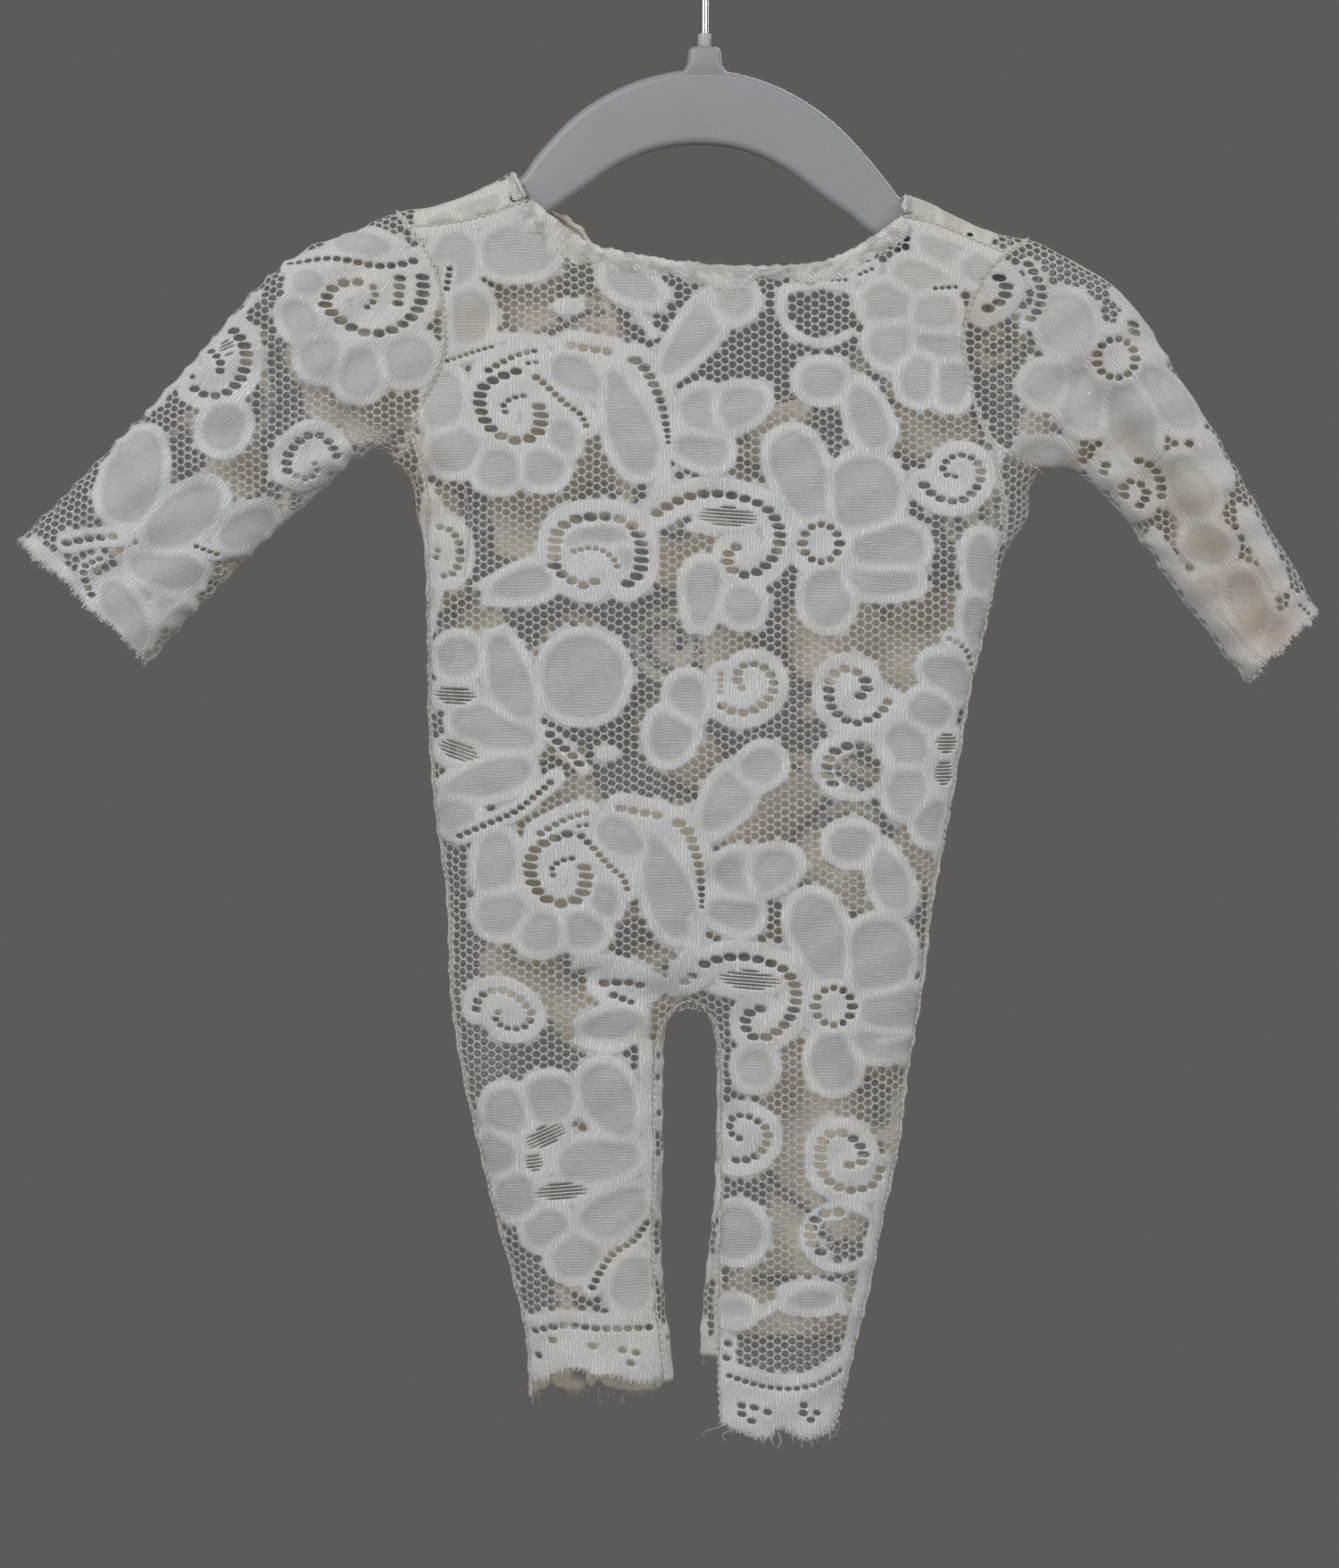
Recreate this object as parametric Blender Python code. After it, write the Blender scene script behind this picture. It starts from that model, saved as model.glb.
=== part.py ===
"""Lace baby romper on a child's hanger, held up by the hanger's wire hook.

The romper is cut as a front, a back and two sleeves. The front and the back each run in one piece
from the neck to the leg hems. The back is wider: it wraps over the shoulders to seams on the front,
and a little round the sides and the insides of the legs. Every cloth piece is a wall on one hollow
form. The form is known by its folded edges, seen from the front, and by how far it stands out from
the middle plane: nothing at a folded edge, then more, like a quarter of an ellipse, until it is flat.

Lengths are in millimetres here and are scaled to metres as the meshes are made.
Left and right are as seen from the front. +X is right, +Y is back, +Z is up.
The origin is the inside of the top of the hook's bend, where a rail would carry it.
"""
import math

import bmesh
import bpy
import numpy as np

MM = 0.001
CLOTH = 1.0             # thickness of the lace walls
SEAM_GAP = 0.3          # between the edges of two pieces at a seam
LAY_GAP = 0.3           # between a piece and what lies on it
FOLD_REACH = 2.0        # a folded edge is round over this many half depths
BAND = 9.0              # width of the neck bindings
LIP = 1.0               # wall of a binding where it turns over the neck edge

HANGER_DEPTH = 5.0      # thickness of the hanger, front to back
HANGER_TOP = -67.8      # height of the top of the arch
HANGER_TILT = 1.4       # degrees that the arch leans down to the right
ARM_GAP = 1.35          # from a shoulder fold's middle to the arm under it

WIRE = 2.3              # diameter of the hook's wire
HOOK_INSIDE = 17.0      # inner radius of the hook's bend
SOCKET_DEPTH = 6.0      # how far the wire goes into the hanger's post
FERRULE_TOP = -56.0
FERRULE_WIDTH = 3.7
POST_TOP = -60.0

FRONT, FOLD, BACK = -1, 0, 1
ON_FOLD = 0.001         # a point this near a folded edge is on it


def table(columns, rows):
    """Rows of numbers as dictionaries with named columns."""
    names = columns.split()
    return [dict(zip(names, row)) for row in rows]


# Folded edges. The top edge runs from the neck over the shoulder tip to the cuff, and the under
# edge from the cuff to the underarm and down to the leg hem.
TOP_LEFT = table("x z", [
    (-55.0, -95.6), (-59.0, -98.0), (-68.0, -102.4), (-78.0, -105.7), (-88.0, -107.3),
    (-99.5, -112.3), (-115.5, -118.5), (-127.5, -128.0), (-141.0, -143.5), (-155.0, -159.0),
    (-170.0, -174.5), (-184.5, -189.5), (-196.5, -201.0)])
TOP_RIGHT = table("x z", [
    (57.5, -102.1), (62.0, -103.6), (70.5, -107.7), (82.5, -113.0), (92.5, -115.5),
    (108.5, -122.5), (118.0, -129.0), (126.0, -138.0), (132.5, -148.5), (140.0, -161.0),
    (149.0, -175.0), (157.5, -190.0), (166.5, -205.0), (176.0, -221.5)])
UNDER_LEFT = table("x z", [
    (-159.5, -236.5), (-150.0, -225.5), (-135.0, -210.0), (-120.5, -196.0), (-107.5, -184.5),
    (-99.0, -177.0), (-93.0, -175.3), (-88.0, -178.0), (-84.5, -184.5), (-82.0, -193.5),
    (-80.5, -202.5), (-79.5, -225.5), (-79.0, -256.0), (-77.5, -276.5), (-74.0, -302.5),
    (-72.5, -334.0), (-69.5, -353.5), (-65.0, -374.0), (-60.0, -394.5), (-55.0, -412.5),
    (-51.5, -427.5), (-50.0, -447.0)])
UNDER_RIGHT = table("x z", [
    (155.5, -242.0), (144.0, -227.0), (135.0, -215.5), (124.5, -200.0), (114.5, -188.5),
    (108.0, -183.0), (102.0, -180.8), (96.5, -181.5), (93.3, -185.5), (93.2, -191.0),
    (91.3, -197.0), (87.0, -203.0), (84.3, -211.0), (81.0, -225.5), (77.0, -241.0),
    (73.5, -261.5), (70.0, -282.0), (66.0, -302.5), (62.0, -334.0), (58.5, -353.5),
    (56.0, -374.0), (51.5, -394.5), (47.5, -415.0), (42.5, -435.5), (37.5, -459.0)])
CROTCH = table("x z", [
    (-9.0, -447.0), (-9.5, -435.5), (-11.5, -420.0), (-12.5, -404.5), (-12.0, -379.0),
    (-12.0, -353.5), (-10.5, -339.5), (-8.0, -335.5), (-4.5, -334.0), (-0.5, -335.5),
    (2.0, -339.5), (3.5, -353.5), (3.5, -374.0), (2.5, -394.5), (0.5, -412.5),
    (-1.0, -430.5), (-1.5, -459.0)])

# Seams and open edges. An armhole runs from the shoulder tip to the underarm: its second point
# takes the shoulder seam, and its last but one the side seam.
ARMHOLE_LEFT = table("x z", [
    (-88.0, -107.3), (-84.5, -112.0), (-81.0, -116.5), (-76.5, -125.5), (-74.0, -138.5),
    (-74.0, -147.5), (-77.0, -155.5), (-81.0, -163.0), (-83.5, -171.0), (-88.0, -178.0)])
ARMHOLE_RIGHT = table("x z", [
    (92.5, -115.5), (86.5, -119.5), (80.5, -126.0), (76.0, -134.5), (73.8, -144.0),
    (75.0, -152.5), (77.5, -163.0), (82.5, -173.5), (96.5, -181.5)])
SHOULDER_LEFT = table("x z", [(-51.0, -104.5), (-63.0, -108.8), (-73.5, -111.0), (-84.5, -112.0)])
SHOULDER_RIGHT = table("x z", [(57.5, -109.0), (65.0, -110.7), (75.0, -114.8), (86.5, -119.5)])
NECK_FRONT = table("x z", [
    (-51.0, -104.5), (-43.0, -110.6), (-34.0, -116.9), (-18.5, -120.7), (-8.5, -122.6),
    (5.5, -123.9), (22.0, -124.0), (32.0, -123.0), (42.0, -119.4), (50.0, -114.6),
    (57.5, -109.0)])
NECK_BACK = table("x z", [
    (-55.0, -95.6), (-51.5, -101.9), (-44.0, -108.0), (-35.5, -114.0), (-29.5, -123.5),
    (-25.5, -136.0), (-19.5, -148.5), (-10.0, -158.0), (4.0, -162.5), (18.5, -161.8),
    (32.5, -157.5), (42.5, -149.0), (49.5, -137.0), (53.5, -124.5), (56.0, -113.5),
    (57.5, -102.1)])

# How far the back's edges wrap round the folds to the front, by height.
SIDE_WRAP_LEFT = table("z width", [
    (-187.0, 4.6), (-193.5, 3.3), (-201.0, 1.5), (-215.0, 0.8), (-447.0, 0.8)])
SIDE_WRAP_RIGHT = table("z width", [
    (-187.0, 8.2), (-193.5, 7.2), (-201.0, 3.2), (-215.0, 0.9), (-459.0, 0.8)])
INSEAM_WRAP_LEFT = table("z width", [(-335.5, 1.0), (-349.0, 2.4), (-447.0, 2.6)])
INSEAM_WRAP_RIGHT = table("z width", [
    (-335.5, 1.0), (-366.0, 1.0), (-386.0, 1.8), (-406.0, 2.8), (-425.0, 4.6), (-459.0, 6.4)])
CROTCH_WRAP = 1.0

# Half depth of the hollow, from the middle plane to the middle of the wall.
FULLNESS = table("x z half_depth", [
    (-72.0, -108.0, 5.0), (74.0, -114.0, 5.0), (-51.0, -101.0, 5.0), (56.0, -106.0, 5.0),
    (3.0, -125.0, 7.2), (-76.0, -145.0, 7.0), (76.0, -148.0, 7.0), (3.0, -160.0, 9.0),
    (-80.0, -182.0, 7.6), (86.0, -184.0, 8.2), (0.0, -210.0, 10.2), (0.0, -260.0, 10.4),
    (-2.0, -305.0, 10.0), (-60.0, -250.0, 8.6), (62.0, -250.0, 8.6), (-4.0, -331.0, 8.2),
    (-40.0, -375.0, 8.4), (-30.0, -440.0, 7.8), (30.0, -380.0, 8.8), (20.0, -450.0, 7.8),
    (-133.0, -172.0, 8.2), (-176.0, -218.0, 7.8), (128.0, -178.0, 9.0), (164.0, -230.0, 9.6)])
FULLNESS_SPREAD = 26.0

# The largest creases: troughs along straight lines, pressed into the front or the back.
CREASES = [
    dict(side=side, start=(x0, z0), end=(x1, z1), depth=depth, width=width)
    for side, x0, z0, x1, z1, depth, width in (
        (FRONT, -80.0, -160.0, -58.0, -136.0, 1.6, 6.0),
        (FRONT, 80.0, -166.0, 55.0, -142.0, 1.6, 6.5),
        (FRONT, -14.0, -333.0, -40.0, -325.0, 2.2, 4.5),
        (FRONT, -13.0, -342.0, -36.0, -345.0, 1.8, 4.5),
        (FRONT, -3.0, -330.0, 2.0, -300.0, 1.4, 5.0),
        (FRONT, 108.0, -158.0, 160.0, -228.0, 3.4, 6.0),
        (FRONT, -104.0, -168.0, -128.0, -150.0, 1.6, 6.0),
        (FRONT, -36.0, -366.0, -34.0, -428.0, 1.2, 8.0),
        (FRONT, 28.0, -372.0, 22.0, -420.0, 1.0, 7.0),
        (BACK, -74.0, -168.0, -46.0, -190.0, 1.8, 7.0),
        (BACK, 78.0, -172.0, 48.0, -196.0, 1.8, 7.0),
        (BACK, -6.0, -331.0, -34.0, -312.0, 2.0, 5.5),
        (BACK, 0.0, -331.0, 30.0, -316.0, 1.8, 5.5),
        (BACK, 112.0, -168.0, 152.0, -226.0, 2.2, 7.0))]

# Rows across the body and the legs. The last row of a leg is its hem, which need not be level.
BODY_LEVELS = (-187.0, -193.5, -201.0, -215.0, -236.0, -259.0, -282.0, -305.0, -322.0)
CROTCH_LEVEL = -334.0
LEG_LEVELS = (-349.0, -366.0, -386.0, -406.0, -425.0)
HEMS = {
    "left": {"shared": (-441.5, -441.5), "back": (-447.0, -446.5)},
    "right": {"shared": (-444.5, -434.5), "front": (-457.5, -457.5)},
}
ARMHOLE_STEPS = 6
TORSO_COLUMNS = 18
LEG_COLUMNS = 8
WRAP_STEPS = (0.0, 0.2, 1.0)
FLAP_STEPS = (0.0, 0.12, 0.45, 1.0)
FOLD_SHARE = 0.14       # of an armhole's length, beside each of its folds
SLEEVE_RINGS = (0.0, 0.07, 0.16, 0.28, 0.42, 0.56, 0.7, 0.85, 1.0)

# The arch before it leans, down from its top: middle of each section and its width.
ARCH = table("x z width", [
    (-49.0, -36.4, 13.0), (-40.6, -28.6, 16.4), (-28.6, -18.2, 19.2), (-15.7, -11.9, 20.6),
    (0.0, -9.3, 21.6), (15.7, -11.9, 20.6), (28.6, -18.2, 19.4), (41.0, -28.3, 17.2),
    (48.0, -34.6, 14.6), (53.2, -39.4, 13.2)])
ARM = table("along width", [(0.13, 13.6), (0.4, 13.4), (0.66, 13.0), (0.93, 11.6)])
POST = table("z half_width half_depth", [
    (POST_TOP, 3.5, 2.3), (POST_TOP - 0.7, 4.4, 2.8), (-63.0, 4.8, 3.0), (-65.0, 5.1, 3.0),
    (-66.6, 6.0, 2.8), (-68.2, 8.0, 2.3), (-72.0, 9.0, 1.9)])

FINISHES = {
    "front": ("lace_front", (0.80, 0.77, 0.70), 0.85, 0.0),
    "back": ("lace_back", (0.76, 0.72, 0.64), 0.85, 0.0),
    "sleeve": ("lace_sleeve", (0.79, 0.76, 0.69), 0.85, 0.0),
    "binding": ("lace_binding", (0.82, 0.79, 0.72), 0.85, 0.0),
    "hanger": ("hanger_plastic", (0.72, 0.68, 0.75), 0.60, 0.0),
    "ferrule": ("ferrule_grey", (0.45, 0.46, 0.48), 0.45, 0.0),
    "hook": ("hook_chrome", (0.80, 0.83, 0.86), 0.18, 1.0),
}


class Path:
    """A smooth line through a table's points, in the front view."""

    STEPS = 8

    def __init__(self, points):
        self.points = np.array(points, float)
        lengths = np.linalg.norm(np.diff(self.points, axis=0), axis=1)
        self.along = np.concatenate([[0.0], np.cumsum(lengths)])
        self.length = self.along[-1]

    @classmethod
    def through(cls, rows):
        """Hermite curve through the rows, with its slopes from their neighbours."""
        knots = np.array([(row["x"], row["z"]) for row in rows], float)
        spans = np.linalg.norm(np.diff(knots, axis=0), axis=1)
        slopes = np.gradient(knots, np.concatenate([[0.0], np.cumsum(spans)]), axis=0)
        t = np.arange(cls.STEPS)[:, None] / cls.STEPS
        points = []
        for i, span in enumerate(spans):
            points.extend((2 * t**3 - 3 * t**2 + 1) * knots[i] + (3 * t**2 - 2 * t**3) * knots[i + 1]
                          + span * ((t**3 - 2 * t**2 + t) * slopes[i] + (t**3 - t**2) * slopes[i + 1]))
        return cls(points + [knots[-1]])

    def rows(self, first, last):
        """The stretch between two rows of the table."""
        return Path(self.points[first * self.STEPS:last * self.STEPS + 1])

    def reverse(self):
        return Path(self.points[::-1])

    def longer(self, reach):
        """The same line with a straight stretch added at each end."""
        first = self.points[0] + reach * unit(self.points[0] - self.points[1])
        last = self.points[-1] + reach * unit(self.points[-1] - self.points[-2])
        return Path(np.vstack([first, self.points, last]))

    def at(self, fractions):
        along = np.asarray(fractions, float) * self.length
        return np.stack([np.interp(along, self.along, self.points[:, k]) for k in (0, 1)], axis=-1)

    def tangents(self, fractions):
        step = 0.004
        fractions = np.asarray(fractions, float)
        return unit(self.at(np.minimum(fractions + step, 1.0)) - self.at(np.maximum(fractions - step, 0.0)))

    def at_height(self, height):
        """The point at a height, on a line that only goes up or only goes down."""
        order = np.argsort(self.points[:, 1])
        return np.array([np.interp(height, self.points[order, 1], self.points[order, 0]), height])


def unit(vectors):
    return vectors / np.maximum(np.linalg.norm(vectors, axis=-1, keepdims=True), 1e-9)


def between(first, last, fractions):
    """Points on the straight line between two points."""
    fractions = np.asarray(fractions, float)[:, None]
    return np.asarray(first) * (1.0 - fractions) + np.asarray(last) * fractions


def crowded(count):
    """Fractions from 0 to 1 that crowd towards both ends."""
    return (1.0 - np.cos(np.pi * np.arange(count + 1) / count)) / 2.0


class Form:
    """The hollow garment: folded edges, fullness and creases."""

    FOLD_END = 8.0

    def __init__(self, folds, fullness, creases):
        starts, ends, inward = [], [], []
        for path, cloth_on_left in folds:
            points = path.longer(self.FOLD_END).points
            direction = unit(points[1:] - points[:-1])
            left = np.stack([-direction[:, 1], direction[:, 0]], axis=-1)
            starts.append(points[:-1])
            ends.append(points[1:])
            inward.append(left if cloth_on_left else -left)
        self.starts = np.vstack(starts)
        self.spans = np.vstack(ends) - self.starts
        self.inward = np.vstack(inward)
        self.fullness = fullness
        self.creases = creases

    def nearest_fold(self, spots):
        """Distance to the nearest folded edge, and the way in from it."""
        away = spots[:, None, :] - self.starts
        square = (self.spans**2).sum(axis=1)
        along = np.clip((away * self.spans).sum(axis=2) / square, 0.0, 1.0)
        away = away - along[..., None] * self.spans
        distance = np.linalg.norm(away, axis=2)
        nearest = distance.argmin(axis=1)
        row = np.arange(len(spots))
        distance = distance[row, nearest]
        on_fold = distance[:, None] < ON_FOLD
        inward = np.where(on_fold, self.inward[nearest], unit(away[row, nearest]))
        return distance, inward

    def half_depth(self, spots):
        places = np.array([(row["x"], row["z"]) for row in self.fullness])
        depths = np.array([row["half_depth"] for row in self.fullness])
        apart = ((spots[:, None, :] - places) ** 2).sum(axis=2)
        weights = np.exp(-apart / (2.0 * FULLNESS_SPREAD**2)) + 1e-9
        return (weights * depths).sum(axis=1) / weights.sum(axis=1)

    def crease_depth(self, spots, side):
        total = np.zeros(len(spots))
        for crease in self.creases:
            if crease["side"] == side:
                start = np.array(crease["start"])
                span = np.array(crease["end"]) - start
                along = np.clip((spots - start) @ span / (span @ span), 0.0, 1.0)
                apart = np.linalg.norm(spots - start - along[:, None] * span, axis=1)
                total += crease["depth"] * np.exp(-((apart / crease["width"]) ** 2))
        return total

    def wall(self, spots, sides):
        """Middle of the wall over the spots, and the way out of it."""
        distance, inward = self.nearest_fold(spots)
        depth = self.half_depth(spots)
        slack = 1.0 - np.minimum(1.0, distance / (FOLD_REACH * depth))
        rise = np.sqrt(1.0 - slack**2)
        crease = np.where(sides == FRONT, self.crease_depth(spots, FRONT),
                          self.crease_depth(spots, BACK))
        y = sides * rise * (depth - crease)
        points = np.stack([spots[:, 0], y, spots[:, 1]], axis=1)
        lean = -inward * (slack / FOLD_REACH)[:, None]
        return points, unit(np.stack([lean[:, 0], sides * rise, lean[:, 1]], axis=1))


class Sheet:
    """The middle surface of one cloth piece, as grids that share their edge points."""

    def __init__(self, form):
        self.form = form
        self.places = {}
        self.faces = []

    def add(self, rows, side):
        """Quads over rows of spots, each row as long as the next."""
        numbers = [self.row(row, side) for row in rows]
        for upper, lower in zip(numbers[:-1], numbers[1:]):
            for a, b, c, d in zip(upper[:-1], upper[1:], lower[1:], lower[:-1]):
                self.faces.append((a, b, c, d))

    def row(self, spots, side):
        """Numbers of a row's points, on the fold itself where it meets one."""
        spots = np.asarray(spots, float)
        distance, _ = self.form.nearest_fold(spots)
        numbers = []
        for (x, z), apart in zip(spots, distance):
            key = (round(x, 4), round(z, 4), FOLD if apart < ON_FOLD else side)
            numbers.append(self.places.setdefault(key, len(self.places)))
        return numbers

    def middle(self):
        keys = np.array(list(self.places))
        return self.form.wall(keys[:, :2], keys[:, 2])

    def point_and_normal(self, spot, side):
        points, normals = self.middle()
        number = self.row([spot], side)[0]
        return points[number], normals[number]

    def edges(self):
        """Each open edge with the middle of its face."""
        faces_of = {}
        for face in self.faces:
            for a, b in zip(face, face[1:] + face[:1]):
                faces_of.setdefault((min(a, b), max(a, b)), []).append(face)
        return [(a, b, faces[0]) for (a, b), faces in faces_of.items() if len(faces) == 1]

    def drawn_in(self, points, normals):
        """The points with every open edge moved in by half a seam gap."""
        ways = {}
        for a, b, face in self.edges():
            along = unit(points[b] - points[a])
            inside = points[list(face)].mean(axis=0) - (points[a] + points[b]) / 2.0
            for number in (a, b):
                way = inside - along * (inside @ along)
                way = unit(way - normals[number] * (way @ normals[number]))
                ways.setdefault(number, []).append(way)
        moved = points.copy()
        for number, (first, second) in ways.items():
            moved[number] += SEAM_GAP / 2.0 * (first + second) / max(1.0 + first @ second, 0.4)
        return moved

    def solid(self, name, finish):
        """A wall of the cloth's thickness on the middle surface."""
        points, normals = self.middle()
        points = self.drawn_in(points, normals)
        count = len(points)
        outer = points + normals * CLOTH / 2.0
        inner = points - normals * CLOTH / 2.0
        faces = self.faces + [tuple(count + n for n in face) for face in self.faces]
        faces += [(a, b, count + b, count + a) for a, b, _ in self.edges()]
        return make_object(name, np.vstack([outer, inner]), faces, finish)


def make_object(name, points, faces, finish, smooth=True):
    """One closed mesh object, its faces turned outwards."""
    shape = bmesh.new()
    corners = [shape.verts.new(point * MM) for point in np.asarray(points, float)]
    for face in faces:
        shape.faces.new([corners[n] for n in face])
    bmesh.ops.recalc_face_normals(shape, faces=shape.faces)
    mesh = bpy.data.meshes.new(name)
    shape.to_mesh(mesh)
    shape.free()
    if smooth:
        mesh.shade_smooth()
        mesh.set_sharp_from_angle(angle=math.radians(50.0))
    thing = bpy.data.objects.new(name, mesh)
    bpy.context.collection.objects.link(thing)
    mesh.materials.append(finish_material(finish))
    return thing


def loft(name, sections, finish):
    """A solid through closed sections with equal point counts, with flat ends."""
    count = len(sections[0])
    faces = [tuple(range(count)), tuple(range(count * (len(sections) - 1), count * len(sections)))]
    for first in range(0, count * (len(sections) - 1), count):
        for k in range(count):
            a, b = first + k, first + (k + 1) % count
            faces.append((a, b, b + count, a + count))
    return make_object(name, np.vstack(sections), faces, finish)


def finish_material(finish):
    name, colour, roughness, metallic = FINISHES[finish]
    material = bpy.data.materials.get(name) or bpy.data.materials.new(name)
    material.use_nodes = True
    shader = material.node_tree.nodes["Principled BSDF"]
    shader.inputs["Base Color"].default_value = (*colour, 1.0)
    shader.inputs["Roughness"].default_value = roughness
    shader.inputs["Metallic"].default_value = metallic
    return material


class Half:
    """The lines of one half of the garment. Its sign is -1 on the left and 1 on the right."""

    def __init__(self, name, sign, top, under, armhole, shoulder, side_wrap, inseam_wrap, inseam):
        self.name = name
        self.sign = sign
        self.top = Path.through(top)
        self.under = Path.through(under)
        self.fold_shoulder = self.top.rows(0, 4)
        self.sleeve_top = self.top.rows(4, len(top) - 1)
        self.sleeve_under = self.under.rows(0, 7).reverse()
        self.side = self.under.rows(7, len(under) - 1)
        self.armhole = Path.through(armhole)
        self.front_armhole = self.armhole.rows(1, len(armhole) - 2)
        self.shoulder_seam = Path.through(shoulder)
        self.side_wrap = side_wrap
        self.inseam_wrap = inseam_wrap
        self.inseam = inseam
        self.tip = self.armhole.points[0]
        self.underarm = self.armhole.points[-1]

    def side_stations(self, heights):
        """Fold and seam points down the side, from the underarm."""
        folds = [self.underarm] + [self.side.at_height(z) for z in heights]
        seams = [self.front_armhole.points[-1]]
        for fold in folds[1:]:
            seams.append(fold - (self.sign * wrap_width(self.side_wrap, fold[1]), 0.0))
        return folds, seams

    def inseam_stations(self, heights):
        """Fold and seam points down the inside of the leg."""
        folds = [self.inseam.at_height(z) for z in heights]
        seams = [fold + (self.sign * wrap_width(self.inseam_wrap, fold[1]), 0.0) for fold in folds]
        return folds, seams

    def leg_heights(self, which):
        """Heights of a leg's rows as (outer, inner) pairs, down to the hem of the front or back."""
        heights = [(z, z) for z in LEG_LEVELS] + [HEMS[self.name]["shared"]]
        return heights + [HEMS[self.name][which]] if which in HEMS[self.name] else heights

    def armhole_stations(self, side):
        """Points down the armhole: the front one between its seams, the back one fold to fold."""
        if side == FRONT:
            return list(self.front_armhole.at(np.linspace(0.0, 1.0, ARMHOLE_STEPS + 1)))
        first, *middle, last = self.armhole.at(
            np.linspace(FOLD_SHARE, 1.0 - FOLD_SHARE, ARMHOLE_STEPS - 1))
        return (list(between(self.tip, first, FLAP_STEPS)) + middle
                + list(between(self.underarm, last, FLAP_STEPS))[::-1])


def wrap_width(rows, height):
    heights = [row["z"] for row in rows]
    widths = [row["width"] for row in rows]
    return np.interp(-height, [-z for z in heights], widths)


def neck_rows(line):
    """Fractions along a shoulder line that starts at the neck: the binding's width, then even."""
    first = BAND / line.length
    return np.concatenate([[0.0], np.linspace(first, 1.0, 4)])


def torso_row(left, right, crotch_share, crotch_row):
    """A row across the body, with its columns drawn towards those of the crotch row."""
    plain = between(left, right, crowded(TORSO_COLUMNS))
    width = crotch_row[-1][0] - crotch_row[0][0]
    shares = (np.array(crotch_row)[:, 0] - crotch_row[0][0]) / width
    drawn = between(left, right, shares)
    return plain * (1.0 - crotch_share) + drawn * crotch_share


def yoke_rows(neck, neck_shares, outer, first_line, last_line, from_folds):
    """Rows from the neck edge out to the armholes and the chest, fanned round the neck."""
    inner = neck.at(neck_shares)
    tangents = neck.tangents(neck_shares)
    into_cloth = np.stack([tangents[:, 1], -tangents[:, 0]], axis=-1)
    rows = []
    for start, way, end in zip(inner, into_cloth, outer):
        band_edge = start + BAND * way
        rows.append(np.vstack([start, between(band_edge, end, np.linspace(0.0, 1.0, 4))]))
    rows[0] = first_line.at(neck_rows(first_line))
    rows[-1] = last_line.at(neck_rows(last_line))
    if from_folds:
        flat = len(FLAP_STEPS) - 1
        for k in range(1, flat):
            rows[k] = rows[0] + (rows[flat] - rows[0]) * FLAP_STEPS[k]
            rows[-1 - k] = rows[-1] + (rows[-1 - flat] - rows[-1]) * FLAP_STEPS[k]
    return rows


def crotch_row(left_side, right_side, corners):
    """The row through both tops of the legs and over the crotch between them."""
    left_corner, top, right_corner = corners
    left_leg = between(left_side, left_corner, crowded(LEG_COLUMNS))
    right_leg = between(right_corner, right_side, crowded(LEG_COLUMNS))
    return list(left_leg) + [top] + list(right_leg)


def body_sheet(form, side, halves, neck, neck_shares):
    """A front or a back without its wraps: yoke, body and two legs."""
    sheet = Sheet(form)
    left, right = halves
    pick = 1 if side == FRONT else 0
    stations = [half.side_stations(BODY_LEVELS + (CROTCH_LEVEL,))[pick] for half in halves]
    arch = crotch_stations(left.inseam, right.inseam)[pick]
    last = crotch_row(stations[0][-1], stations[1][-1], arch)
    rows = []
    for k, (start, end) in enumerate(zip(stations[0][:-1], stations[1][:-1])):
        share = (max(0.0, k - 4) / (len(BODY_LEVELS) - 4)) ** 1.5
        rows.append(torso_row(start, end, share, last))
    rows.append(last)
    sheet.add(rows, side)

    outer = left.armhole_stations(side) + list(rows[0][1:-1]) + right.armhole_stations(side)[::-1]
    lines = [half.shoulder_seam if side == FRONT else half.fold_shoulder for half in halves]
    sheet.add(yoke_rows(neck, neck_shares(len(outer)), outer, *lines, side == BACK), side)

    which = "front" if side == FRONT else "back"
    legs = ((left, last[:LEG_COLUMNS + 1], False), (right, last[LEG_COLUMNS + 2:], True))
    for half, first_row, inner_first in legs:
        heights = half.leg_heights(which)
        outers = half.side_stations([outer_z for outer_z, _ in heights])[pick][1:]
        inners = half.inseam_stations([inner_z for _, inner_z in heights])[pick]
        rows = [first_row]
        for start, end in zip(outers, inners):
            ends = (end, start) if inner_first else (start, end)
            rows.append(between(*ends, crowded(LEG_COLUMNS)))
        sheet.add(rows, side)
    return sheet


def crotch_stations(left_inseam, right_inseam):
    """Fold and seam points at the crotch: its left corner, top and right corner."""
    arch = Path.through(CROTCH)
    folds = [arch.points[k * Path.STEPS] for k in (7, 8, 9)]
    ways = unit(np.array([(-1.0, 1.0), (0.0, 1.0), (1.0, 1.0)]))
    return folds, [fold + CROTCH_WRAP * way for fold, way in zip(folds, ways)]


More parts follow.
